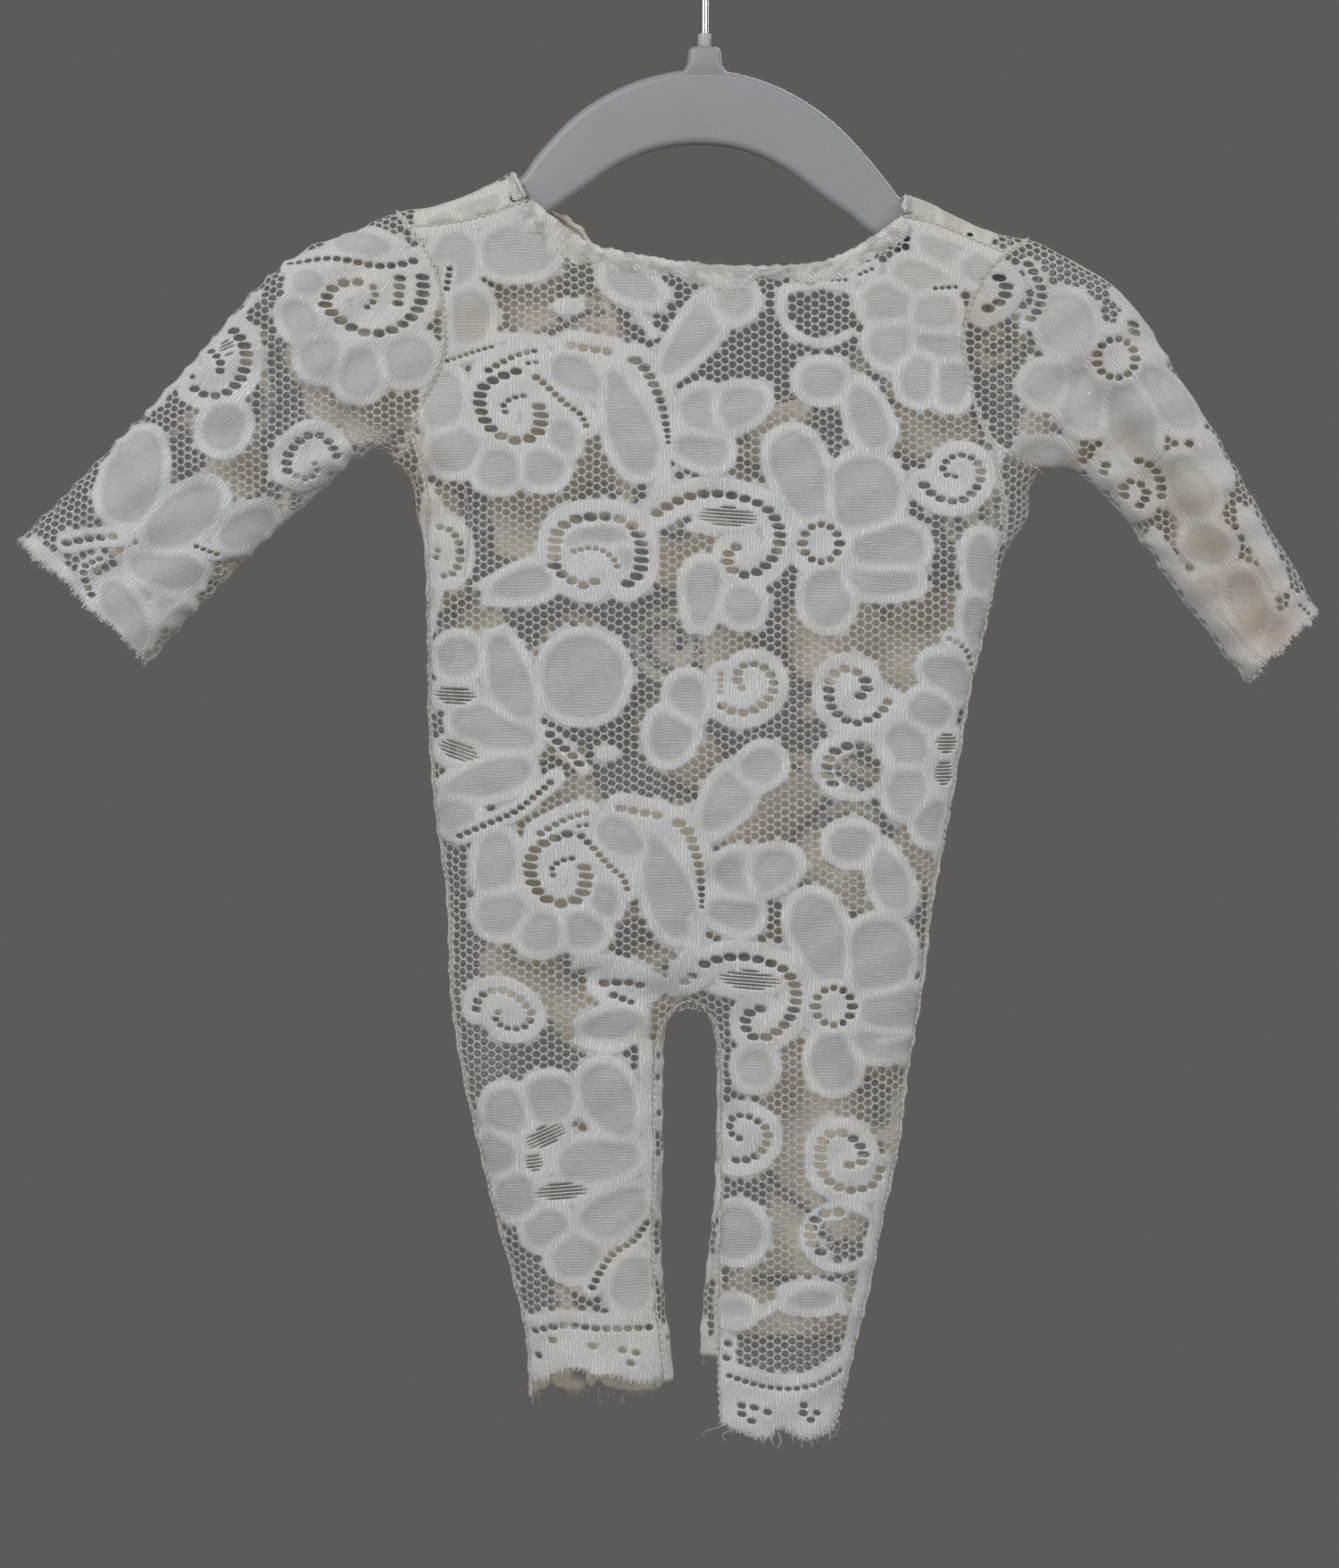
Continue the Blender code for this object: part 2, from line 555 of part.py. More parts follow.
def add_wraps(sheet, halves):
    """What goes over the shoulders, round the sides and along the inside legs of the back."""
    left, right = halves
    for half in halves:
        fold = half.fold_shoulder.at(neck_rows(half.fold_shoulder))
        seam = half.shoulder_seam.at(neck_rows(half.shoulder_seam))
        sheet.add([fold + (seam - fold) * step for step in FLAP_STEPS], FRONT)
        heights = BODY_LEVELS + (CROTCH_LEVEL,) + tuple(z for z, _ in half.leg_heights("back"))
        folds, seams = (np.array(points) for points in half.side_stations(heights))
        sheet.add([folds + (seams - folds) * step for step in WRAP_STEPS], FRONT)
    sides = [half.inseam_stations([z for _, z in half.leg_heights("back")]) for half in halves]
    corners = crotch_stations(left.inseam, right.inseam)
    folds, seams = (np.array(sides[0][k][::-1] + corners[k] + sides[1][k]) for k in (0, 1))
    sheet.add([folds + (seams - folds) * step for step in WRAP_STEPS], FRONT)


def front_neck_shares(count):
    """Where the front's rows leave the neck edge: few at its ends, most along its middle."""
    ends = 0.2 * np.arange(ARMHOLE_STEPS + 1) / ARMHOLE_STEPS
    middle = np.linspace(0.2, 0.8, count - 2 * ARMHOLE_STEPS)[1:-1]
    return np.concatenate([ends, middle, 1.0 - ends[::-1]])


def back_neck_shares(count):
    """Where the back's rows leave the neck edge, close together at the shoulder folds."""
    half = (count - TORSO_COLUMNS + 1) // 2
    flat = len(FLAP_STEPS) - 1
    ends = np.concatenate([0.05 * np.array(FLAP_STEPS), np.linspace(0.05, 0.38, half - flat)[1:]])
    middle = np.linspace(0.38, 0.62, TORSO_COLUMNS + 1)[1:-1]
    return np.concatenate([ends, middle, 1.0 - ends[::-1]])


def sleeve_sheet(form, half):
    """A tube from the armhole to the cuff, as rings round both folds."""
    sheet = Sheet(form)
    seam_top, *front_middle, seam_side = half.armhole_stations(FRONT)
    front = (list(between(half.tip, seam_top, FLAP_STEPS[:-1])) + [seam_top] + front_middle
             + [seam_side] + list(between(half.underarm, seam_side, WRAP_STEPS[:-1]))[::-1])
    for side, root in ((FRONT, front), (BACK, half.armhole_stations(BACK))):
        root = np.array(root)
        span = half.underarm - half.tip
        shares = (root - half.tip) @ span / (span @ span)
        bow = root - between(half.tip, half.underarm, shares)
        rings = []
        for fraction in SLEEVE_RINGS:
            top = half.sleeve_top.at(fraction)
            under = half.sleeve_under.at(fraction)
            change = min(1.0, fraction / 0.4)
            places = shares * (1.0 - change) + crowded(len(root) - 1) * change
            rings.append(between(top, under, places) + bow * (1.0 - fraction) ** 4)
        sheet.add(rings, side)
    return sheet


def binding(name, sheet, stations, finish):
    """A folded strip on the neck edge, made from the panel's points moved out."""
    low = CLOTH / 2.0 + LAY_GAP
    high = low + LIP
    past = SEAM_GAP / 2.0
    sections = []
    for edge_spot, band_spot, side in stations:
        edge, edge_out = sheet.point_and_normal(edge_spot, side)
        band, band_out = sheet.point_and_normal(band_spot, side)
        over = unit(edge - band)
        sections.append(np.array([
            band + low * band_out, band + high * band_out,
            edge + high * edge_out, edge + (past + LIP) * over + (high - 0.7) * edge_out,
            edge + (past + LIP) * over - 0.4 * edge_out, edge + past * over - 0.4 * edge_out,
            edge + past * over + low * edge_out]))
    for end, inner in ((0, 1), (-1, -2)):
        sections[end] = sections[end] + SEAM_GAP / 2.0 * unit(sections[inner] - sections[end])
    return loft(name, sections, finish)


def neck_stations(rows, side):
    return [(row[0], row[1], side) for row in rows]


def make_cloth(form, halves):
    """The front, the back, both sleeves and both neck bindings."""
    neck_front = Path.through(NECK_FRONT)
    neck_back = Path.through(NECK_BACK)
    front = body_sheet(form, FRONT, halves, neck_front, front_neck_shares)
    back = body_sheet(form, BACK, halves, neck_back, back_neck_shares)
    add_wraps(back, halves)
    front.solid("front", "front")
    back.solid("back", "back")
    for half in halves:
        sleeve_sheet(form, half).solid("sleeve_" + half.name, "sleeve")

    count = len(halves[0].armhole_stations(FRONT)) * 2 + TORSO_COLUMNS - 1
    lines = [half.shoulder_seam for half in halves]
    rows = yoke_rows(neck_front, front_neck_shares(count), np.zeros((count, 2)), *lines, False)
    binding("neck_binding_front", front, neck_stations(rows, FRONT), "binding")

    count = len(halves[0].armhole_stations(BACK)) * 2 + TORSO_COLUMNS - 1
    folds = [half.fold_shoulder for half in halves]
    rows = yoke_rows(neck_back, back_neck_shares(count), np.zeros((count, 2)), *folds, True)
    flaps = []
    for half in halves:
        fold = half.fold_shoulder.at(neck_rows(half.fold_shoulder)[:2])
        seam = half.shoulder_seam.at(neck_rows(half.shoulder_seam)[:2])
        steps = [fold + (seam - fold) * step for step in FLAP_STEPS[1:]]
        flaps.append(neck_stations(steps, FRONT))
    stations = flaps[0][::-1] + neck_stations(rows, BACK) + flaps[1]
    binding("neck_binding_back", back, stations, "binding")


def stadium(half_width, half_depth, corner, steps=3):
    """Points round a rectangle with round corners, as (across, deep) pairs."""
    points = []
    for quarter in range(4):
        for k in range(steps):
            angle = math.radians(90.0 * (quarter + k / (steps - 1)))
            across = math.cos(angle) * corner
            deep = math.sin(angle) * corner
            points.append((across + math.copysign(half_width - corner, (1, -1, -1, 1)[quarter]),
                           deep + math.copysign(half_depth - corner, (1, 1, -1, -1)[quarter])))
    return points


def make_hanger(halves):
    """Arch, arms and post in one piece, with a socket for the wire."""
    tilt = math.radians(HANGER_TILT)
    rows = []
    for row in ARCH:
        x, z = row["x"], row["z"]
        rows.append((x * math.cos(tilt) + z * math.sin(tilt),
                     HANGER_TOP - x * math.sin(tilt) + z * math.cos(tilt), row["width"]))
    for half in halves:
        for row in ARM:
            spot = half.fold_shoulder.at(row["along"])
            tangent = half.fold_shoulder.tangents(row["along"])
            down = np.array([-tangent[1], tangent[0]]) * -half.sign
            x, z = spot + down * (ARM_GAP + row["width"] / 2.0)
            rows.append((x, z, row["width"]))
    rows.sort()
    line = Path.through([dict(x=x, z=z) for x, z, _ in rows])
    marks = line.along[::Path.STEPS] / line.length
    sections = []
    for fraction in np.linspace(0.0, 1.0, 27):
        x, z = line.at(fraction)
        tangent = line.tangents(fraction)
        width = np.interp(fraction, marks, [row[2] for row in rows])
        shrink = 0.72 if fraction in (0.0, 1.0) else 1.0
        ring = stadium(width / 2.0 * shrink, HANGER_DEPTH / 2.0 * shrink, 2.3 * shrink)
        sections.append(np.array([(x - tangent[1] * across, deep, z + tangent[0] * across)
                                  for across, deep in ring]))
    hanger = loft("hanger", sections, "hanger")

    rings = [np.array([(across, deep, row["z"]) for across, deep in
                       stadium(row["half_width"], row["half_depth"], min(1.8, row["half_depth"] - 0.1))])
             for row in POST]
    post = loft("cutter_post", rings, "hanger")
    socket = turned("cutter_socket", WIRE / 2.0 + LAY_GAP, POST_TOP - SOCKET_DEPTH, POST_TOP + 2.0)
    for cutter, operation in ((post, "UNION"), (socket, "DIFFERENCE")):
        cutter.hide_render = True
        cutter.display_type = "WIRE"
        cutter.hide_viewport = False
        boolean = hanger.modifiers.new(operation.title(), "BOOLEAN")
        boolean.operation = operation
        boolean.object = cutter
        boolean.solver = "EXACT"


def turned(name, radius, low, high, finish="ferrule", sides=16):
    """A plain cylinder on the hook's axis."""
    angles = np.arange(sides) * 2.0 * np.pi / sides
    rings = [np.stack([radius * np.cos(angles), radius * np.sin(angles), np.full(sides, z)], axis=1)
             for z in (low, high)]
    return loft(name, rings, finish)


def make_ferrule():
    """A short sleeve round the wire on top of the post."""
    outer, inner = FERRULE_WIDTH / 2.0, WIRE / 2.0 + LAY_GAP
    low, high, chamfer = POST_TOP + LAY_GAP, FERRULE_TOP, 0.35
    profile = [(inner, low), (outer, low), (outer, high - chamfer), (outer - chamfer, high),
               (inner, high)]
    sides = 16
    sections = []
    for k in range(sides):
        angle = 2.0 * math.pi * k / sides
        sections.append([(r * math.cos(angle), r * math.sin(angle), z) for r, z in profile])
    points = np.vstack(sections)
    count = len(profile)
    faces = []
    for k in range(sides):
        first, after = k * count, (k + 1) % sides * count
        for n in range(count):
            m = (n + 1) % count
            faces.append((first + n, first + m, after + m, after + n))
    make_object("hook_ferrule", points, faces, "ferrule")


def arc(centre, radius, start, end, steps):
    """Points on an arc in the front view, its angles in degrees from +X."""
    angles = np.radians(np.linspace(start, end, steps + 1))
    return [(centre[0] + radius * math.cos(a), centre[1] + radius * math.sin(a)) for a in angles]


def make_hook():
    """A wire that stands up from the post, swings right and bends over to a free end."""
    bend = HOOK_INSIDE + WIRE / 2.0
    swing = math.radians(66.0)
    neck = bend * math.cos(swing) / (1.0 - math.cos(swing))
    join = -HOOK_INSIDE - bend * math.sin(swing)
    stem_top = join - neck * math.sin(swing)
    route = [(0.0, POST_TOP - SOCKET_DEPTH + LAY_GAP), (0.0, POST_TOP), (0.0, FERRULE_TOP + 3.0)]
    route += arc((neck, stem_top), neck, 180.0, 180.0 - math.degrees(swing), 6)
    route += arc((0.0, -HOOK_INSIDE), bend, -math.degrees(swing), 196.0, 22)[1:]
    curve = bpy.data.curves.new("hook", "CURVE")
    curve.dimensions = "3D"
    curve.bevel_depth = WIRE / 2.0 * MM
    curve.bevel_resolution = 2
    curve.use_fill_caps = True
    spline = curve.splines.new("POLY")
    spline.points.add(len(route) - 1)
    for point, (x, z) in zip(spline.points, route):
        point.co = (x * MM, 0.0, z * MM, 1.0)
    spline.points[-1].radius = 0.6
    curve.materials.append(finish_material("hook"))
    hook = bpy.data.objects.new("hook", curve)
    bpy.context.collection.objects.link(hook)


def main():
    for thing in list(bpy.data.objects):
        bpy.data.objects.remove(thing, do_unlink=True)
    crotch = Path.through(CROTCH)
    left_inseam, right_inseam = crotch.rows(0, 7), crotch.rows(9, len(CROTCH) - 1)
    halves = (
        Half("left", -1, TOP_LEFT, UNDER_LEFT, ARMHOLE_LEFT, SHOULDER_LEFT, SIDE_WRAP_LEFT,
             INSEAM_WRAP_LEFT, left_inseam),
        Half("right", 1, TOP_RIGHT, UNDER_RIGHT, ARMHOLE_RIGHT, SHOULDER_RIGHT, SIDE_WRAP_RIGHT,
             INSEAM_WRAP_RIGHT, right_inseam))
    left, right = halves
    folds = [(left.top, True), (left.under, True), (crotch, True), (right.under, False),
             (right.top, False)]
    form = Form(folds, FULLNESS, CREASES)
    make_cloth(form, halves)
    make_hanger(halves)
    make_ferrule()
    make_hook()


main()
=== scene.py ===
"""Looks of a lace baby romper on its small hanger: the lace itself, its seams, bindings and frayed
hems, the hanger and its hook, and the stage round them.

The cloth is laid out flat first. Each piece is an outline in the front view, and near a folded edge
its flat pattern runs on round the fold. Motifs, net and eyelets are drawn on the flat pattern, the
holes are cut through, and the cut cloth is wrapped back on the garment's form as a closed thin wall.

Lengths are in millimetres here, and are scaled to metres as meshes are made.
Left and right are as seen from the front. +X is right, +Y is back, +Z is up.
"""
import math
from functools import partial, partialmethod

import bmesh
import bpy
import numpy as np
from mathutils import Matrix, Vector, kdtree
from mathutils.geometry import delaunay_2d_cdt


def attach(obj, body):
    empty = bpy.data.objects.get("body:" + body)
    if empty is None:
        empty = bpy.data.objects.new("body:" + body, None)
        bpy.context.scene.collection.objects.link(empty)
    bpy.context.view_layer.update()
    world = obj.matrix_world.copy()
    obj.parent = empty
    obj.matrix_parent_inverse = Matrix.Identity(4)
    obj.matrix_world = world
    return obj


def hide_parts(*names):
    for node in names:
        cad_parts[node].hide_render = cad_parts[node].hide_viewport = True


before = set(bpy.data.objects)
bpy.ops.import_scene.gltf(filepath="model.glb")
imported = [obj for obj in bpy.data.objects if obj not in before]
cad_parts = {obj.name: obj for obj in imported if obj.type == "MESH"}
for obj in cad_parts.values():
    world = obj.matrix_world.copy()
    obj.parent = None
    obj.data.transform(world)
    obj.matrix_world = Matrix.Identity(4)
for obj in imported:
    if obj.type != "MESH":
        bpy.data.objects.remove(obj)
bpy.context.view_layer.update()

bl_info = {
    "name": "Lace Romper on a Hanger",
    "version": (1, 0, 0),
    "blender": (4, 5, 0),
    "location": "View3D > Sidebar > Romper",
    "description": "Makes a lace baby romper, its hanger and its stage",
    "category": "Add Mesh",
}

MM = 0.001
FRONT, BACK = -1, 1
FOLD_REACH = 2.0        # a folded edge is round over this many half depths
PATTERN_UNIT = 100.0    # millimetres of the flat pattern to one unit of its UV map
SATIN_PAIR = 0.94       # from one pair of satin threads to the next
RIB = 0.8               # from one rib of a fill to the next
WIRE_RADIUS = 1.15      # of the hook

# ---------------------------------------------------------------------------------------------
# The garment's lines, in the front view: x and z.

TOP_LEFT = [
    (-55, -95.6), (-59, -98), (-68, -102.4), (-78, -105.7), (-88, -107.3), (-99.5, -112.3), (-115.5, -118.5),
    (-127.5, -128), (-141, -143.5), (-155, -159), (-170, -174.5), (-184.5, -189.5), (-196.5, -201)]
TOP_RIGHT = [
    (57.5, -102.1), (62, -103.6), (70.5, -107.7), (82.5, -113), (92.5, -115.5), (108.5, -122.5), (118, -129),
    (126, -138), (132.5, -148.5), (140, -161), (149, -175), (157.5, -190), (166.5, -205), (176, -221.5)]
UNDER_LEFT = [
    (-159.5, -236.5), (-150, -225.5), (-135, -210), (-120.5, -196), (-107.5, -184.5), (-99, -177), (-93, -175.3),
    (-88, -178), (-84.5, -184.5), (-82, -193.5), (-80.5, -202.5), (-79.5, -225.5), (-79, -256), (-77.5, -276.5),
    (-74, -302.5), (-72.5, -334), (-69.5, -353.5), (-65, -374), (-60, -394.5), (-55, -412.5), (-51.5, -427.5),
    (-50, -447)]
UNDER_RIGHT = [
    (155.5, -242), (144, -227), (135, -215.5), (124.5, -200), (114.5, -188.5), (108, -183), (102, -180.8),
    (96.5, -181.5), (93.3, -185.5), (93.2, -191), (91.3, -197), (87, -203), (84.3, -211), (81, -225.5), (77, -241),
    (73.5, -261.5), (70, -282), (66, -302.5), (62, -334), (58.5, -353.5), (56, -374), (51.5, -394.5), (47.5, -415),
    (42.5, -435.5), (37.5, -459)]
CROTCH = [
    (-9, -447), (-9.5, -435.5), (-11.5, -420), (-12.5, -404.5), (-12, -379), (-12, -353.5), (-10.5, -339.5),
    (-8, -335.5), (-4.5, -334), (-0.5, -335.5), (2, -339.5), (3.5, -353.5), (3.5, -374), (2.5, -394.5), (0.5, -412.5),
    (-1, -430.5), (-1.5, -459)]
ARMHOLE_LEFT = [
    (-88, -107.3), (-84.5, -112), (-81, -116.5), (-76.5, -125.5), (-74, -138.5), (-74, -147.5), (-77, -155.5),
    (-81, -163), (-83.5, -171), (-88, -178)]
ARMHOLE_RIGHT = [
    (92.5, -115.5), (86.5, -119.5), (80.5, -126), (76, -134.5), (73.8, -144), (75, -152.5), (77.5, -163),
    (82.5, -173.5), (96.5, -181.5)]
SHOULDER_LEFT = [(-51, -104.5), (-63, -108.8), (-73.5, -111), (-84.5, -112)]
SHOULDER_RIGHT = [(57.5, -109), (65, -110.7), (75, -114.8), (86.5, -119.5)]
NECK_FRONT = [
    (-51, -104.5), (-43, -110.6), (-34, -116.9), (-18.5, -120.7), (-8.5, -122.6), (5.5, -123.9), (22, -124),
    (32, -123), (42, -119.4), (50, -114.6), (57.5, -109)]
NECK_BACK = [
    (-55, -95.6), (-51.5, -101.9), (-44, -108), (-35.5, -114), (-29.5, -123.5), (-25.5, -136), (-19.5, -148.5),
    (-10, -158), (4, -162.5), (18.5, -161.8), (32.5, -157.5), (42.5, -149), (49.5, -137), (53.5, -124.5),
    (56, -113.5), (57.5, -102.1)]

# How far the back's edges wrap round the folds to the front: height and width.
SIDE_WRAP = {
    "left": [(-178, 4.9), (-187, 4.6), (-193.5, 3.3), (-201, 1.5), (-215, 0.8), (-460, 0.8)],
    "right": [(-181, 9.5), (-187, 8.2), (-193.5, 7.2), (-201, 3.2), (-215, 0.9), (-460, 0.8)]}
INSEAM_WRAP = {
    "left": [(-335.5, 1), (-349, 2.4), (-460, 2.6)],
    "right": [(-335.5, 1), (-366, 1), (-386, 1.8), (-406, 2.8), (-425, 4.6), (-460, 6.4)]}
CROTCH_WRAP = 1.0

# Hems from the outer side of the leg to its inner side: share of the way, and height.
HEMS = {
    ("left", FRONT): [(0, -441.2), (0.1, -441.4), (0.22, -438.6), (0.36, -438), (0.5, -440), (0.62, -439.6),
        (0.74, -441.4), (0.86, -441.8), (1, -440.6)],
    ("left", BACK): [(0, -446.6), (0.06, -446.2), (0.13, -444.6), (0.24, -446.4), (0.38, -446.2), (0.48, -443.8),
        (0.58, -446), (0.72, -446.8), (0.88, -445.6), (1, -442)],
    ("right", FRONT): [(0, -453.6), (0.06, -455.6), (0.18, -457.6), (0.32, -457.3), (0.42, -455.4), (0.5, -454.8),
        (0.56, -457.4), (0.66, -457.6), (0.8, -456.2), (0.92, -454.6), (1, -453.2)],
    ("right", BACK): [(0, -444.6), (0.2, -444), (0.4, -441.6), (0.6, -439.4), (0.8, -436.4), (1, -434.6)]}

# Half depth of the hollow, from the middle plane to the middle of the wall: x, z, half depth.
FULLNESS = [
    (-72, -108, 5), (74, -114, 5), (-51, -101, 5), (56, -106, 5), (3, -125, 7.2), (-76, -145, 7), (76, -148, 7),
    (3, -160, 9), (-80, -182, 7.6), (86, -184, 8.2), (0, -210, 10.2), (0, -260, 10.4), (-2, -305, 10),
    (-60, -250, 8.6), (62, -250, 8.6), (-4, -331, 8.2), (-40, -375, 8.4), (-30, -440, 7.8), (30, -380, 8.8),
    (20, -450, 7.8), (-133, -172, 8.2), (-176, -218, 7.8), (128, -178, 9), (164, -230, 9.6)]
FULLNESS_SPREAD = 26.0

# Creases of each side, pressed in where their depth is above nothing and raised where it is below:
# from x, z to x, z, depth and width.
CREASES = {
    FRONT: [
        (-80, -160, -58, -136, 1.6, 6), (80, -166, 55, -142, 1.6, 6.5), (-14, -333, -40, -325, 2.2, 4.5),
        (-13, -342, -36, -345, 1.8, 4.5), (-3, -330, 2, -300, 1.4, 5), (108, -158, 160, -228, 3.4, 6),
        (-104, -168, -128, -150, 1.6, 6), (-36, -366, -34, -428, 1.2, 8), (28, -372, 22, -420, 1, 7),
        (-60, -118, -42, -126, 0.5, 3), (-30, -170, -22, -196, -0.5, 4), (46, -150, 38, -176, 0.6, 4),
        (12, -206, 26, -232, 0.5, 5), (-52, -222, -64, -262, 0.7, 4.5), (50, -214, 60, -262, 0.6, 5),
        (-22, -262, -40, -300, 0.6, 5), (24, -276, 16, -318, 0.7, 4.5), (-60, -300, -52, -336, -0.5, 4),
        (48, -300, 44, -344, 0.6, 4.5), (-58, -352, -52, -392, 0.5, 3.5), (42, -356, 40, -400, 0.5, 4),
        (12, -396, 8, -430, 0.6, 3), (-120, -140, -150, -172, 0.7, 4.5), (-140, -190, -168, -214, 0.8, 5),
        (118, -138, 140, -176, -0.7, 4.5), (136, -186, 148, -220, 1, 4), (-96, -170, -112, -176, 0.7, 3),
        (100, -176, 118, -180, 0.8, 3)],
    BACK: [
        (-74, -168, -46, -190, 1.8, 7), (78, -172, 48, -196, 1.8, 7), (-6, -331, -34, -312, 2, 5.5),
        (0, -331, 30, -316, 1.8, 5.5), (112, -168, 152, -226, 2.2, 7), (-30, -190, -20, -250, 0.8, 5.5),
        (26, -200, 34, -262, 0.7, 5), (-6, -260, 4, -300, -0.5, 5), (-44, -262, -52, -310, 0.7, 5),
        (52, -276, 44, -330, 0.6, 5), (-34, -352, -36, -420, 0.8, 5), (26, -356, 22, -424, 0.8, 5),
        (-116, -150, -148, -184, 0.8, 5), (130, -150, 158, -204, 0.6, 4.5)]}


def unit(vectors):
    return vectors / np.maximum(np.linalg.norm(vectors, axis=-1, keepdims=True), 1e-9)


def between(first, last, fractions):
    """Points on the straight line between two points."""
    fractions = np.asarray(fractions, float)[:, None]
    return np.asarray(first) * (1.0 - fractions) + np.asarray(last) * fractions


class Path:
    """A smooth line through a table's points, in the front view."""

    STEPS = 8

    def __init__(self, points):
        self.points = np.array(points, float)
        lengths = np.linalg.norm(np.diff(self.points, axis=0), axis=1)
        self.along = np.concatenate([[0.0], np.cumsum(lengths)])
        self.length = self.along[-1]

    @classmethod
    def through(cls, rows):
        """Hermite curve through the rows, with its slopes from their neighbours."""
        knots = np.array(rows, float)
        spans = np.linalg.norm(np.diff(knots, axis=0), axis=1)
        slopes = np.gradient(knots, np.concatenate([[0.0], np.cumsum(spans)]), axis=0)
        t = np.arange(cls.STEPS)[:, None] / cls.STEPS
        points = []
        for i, span in enumerate(spans):
            points.extend((2 * t**3 - 3 * t**2 + 1) * knots[i] + (3 * t**2 - 2 * t**3) * knots[i + 1]
                          + span * ((t**3 - 2 * t**2 + t) * slopes[i] + (t**3 - t**2) * slopes[i + 1]))
        return cls(points + [knots[-1]])

    def rows(self, first, last):
        """The stretch between two rows of the table."""
        return Path(self.points[first * self.STEPS:last * self.STEPS + 1])

    def longer(self, reach):
        """The same line with a straight stretch added at each end."""
        first = self.points[0] + reach * unit(self.points[0] - self.points[1])
        last = self.points[-1] + reach * unit(self.points[-1] - self.points[-2])
        return Path(np.vstack([first, self.points, last]))

    def at(self, fractions):
        along = np.asarray(fractions, float) * self.length
        return np.stack([np.interp(along, self.along, self.points[:, k]) for k in (0, 1)], axis=-1)

    def tangents(self, fractions, step=0.004):
        fractions = np.asarray(fractions, float)
        return unit(self.at(np.minimum(fractions + step, 1.0)) - self.at(np.maximum(fractions - step, 0.0)))

    def spaced(self, step):
        """Points along the whole line, about a step apart."""
        return self.at(np.linspace(0.0, 1.0, max(2, int(round(self.length / step)) + 1)))

    def down_to(self, height, step=1.0):
        """Points from the line's upper end to a height, on a line that only goes down."""
        order = np.argsort(self.points[:, 1])
        top = self.points[:, 1].max()
        heights = np.linspace(top, height, max(2, int(round((top - height) / step)) + 1))
        x = np.interp(heights, self.points[order, 1], self.points[order, 0])
        return np.stack([x, heights], axis=1)


def away_from_hanger(spots):
    """0 where the cloth lies on the hanger, 1 where it hangs free."""
    below = np.clip((-122.0 - spots[:, 1]) / 16.0, 0.0, 1.0)
    beside = np.clip((np.abs(spots[:, 0]) - 84.0) / 12.0, 0.0, 1.0)
    return np.maximum(below, beside)


def pucker(spots):
    """How far the folded edges bulge between the small gathers along them."""
    x, z = spots.T
    course = 0.36 * z + 0.22 * x + 0.9 * np.sin(0.11 * z - 0.07 * x) + 0.5 * np.sin(0.31 * x + 0.4)
    amount = 0.45 + 0.5 * np.clip((np.abs(x) - 80.0) / 20.0, 0.0, 1.0) * (0.6 + 0.4 * np.sin(0.09 * x + 0.05 * z))
    amount += 0.9 * np.exp(-((x + 86.0) ** 2 + (z + 184.0) ** 2) / 140.0)
    return amount * (0.55 - np.abs(np.sin(course))) * away_from_hanger(spots)


def ripple(spots):
    """Small waves of the hanging cloth, the same on both sides of the garment."""
    x, z = spots.T
    wave = np.sin(0.34 * x + 0.12 * z + 1.2 * np.sin(0.07 * z))
    wave += 0.8 * np.sin(0.46 * z - 0.21 * x + 1.0 + np.sin(0.09 * x))
    patch = 0.5 + 0.5 * np.sin(0.045 * x + 0.3 + 0.8 * np.sin(0.03 * z))
    amount = 0.22 + 0.18 * patch + 0.35 * np.clip((np.abs(x) - 80.0) / 16.0, 0.0, 1.0)
    amount += 0.5 * np.exp(-((x + 82.0) ** 2 + (z + 184.0) ** 2) / 160.0)
    return amount * wave * away_from_hanger(spots)


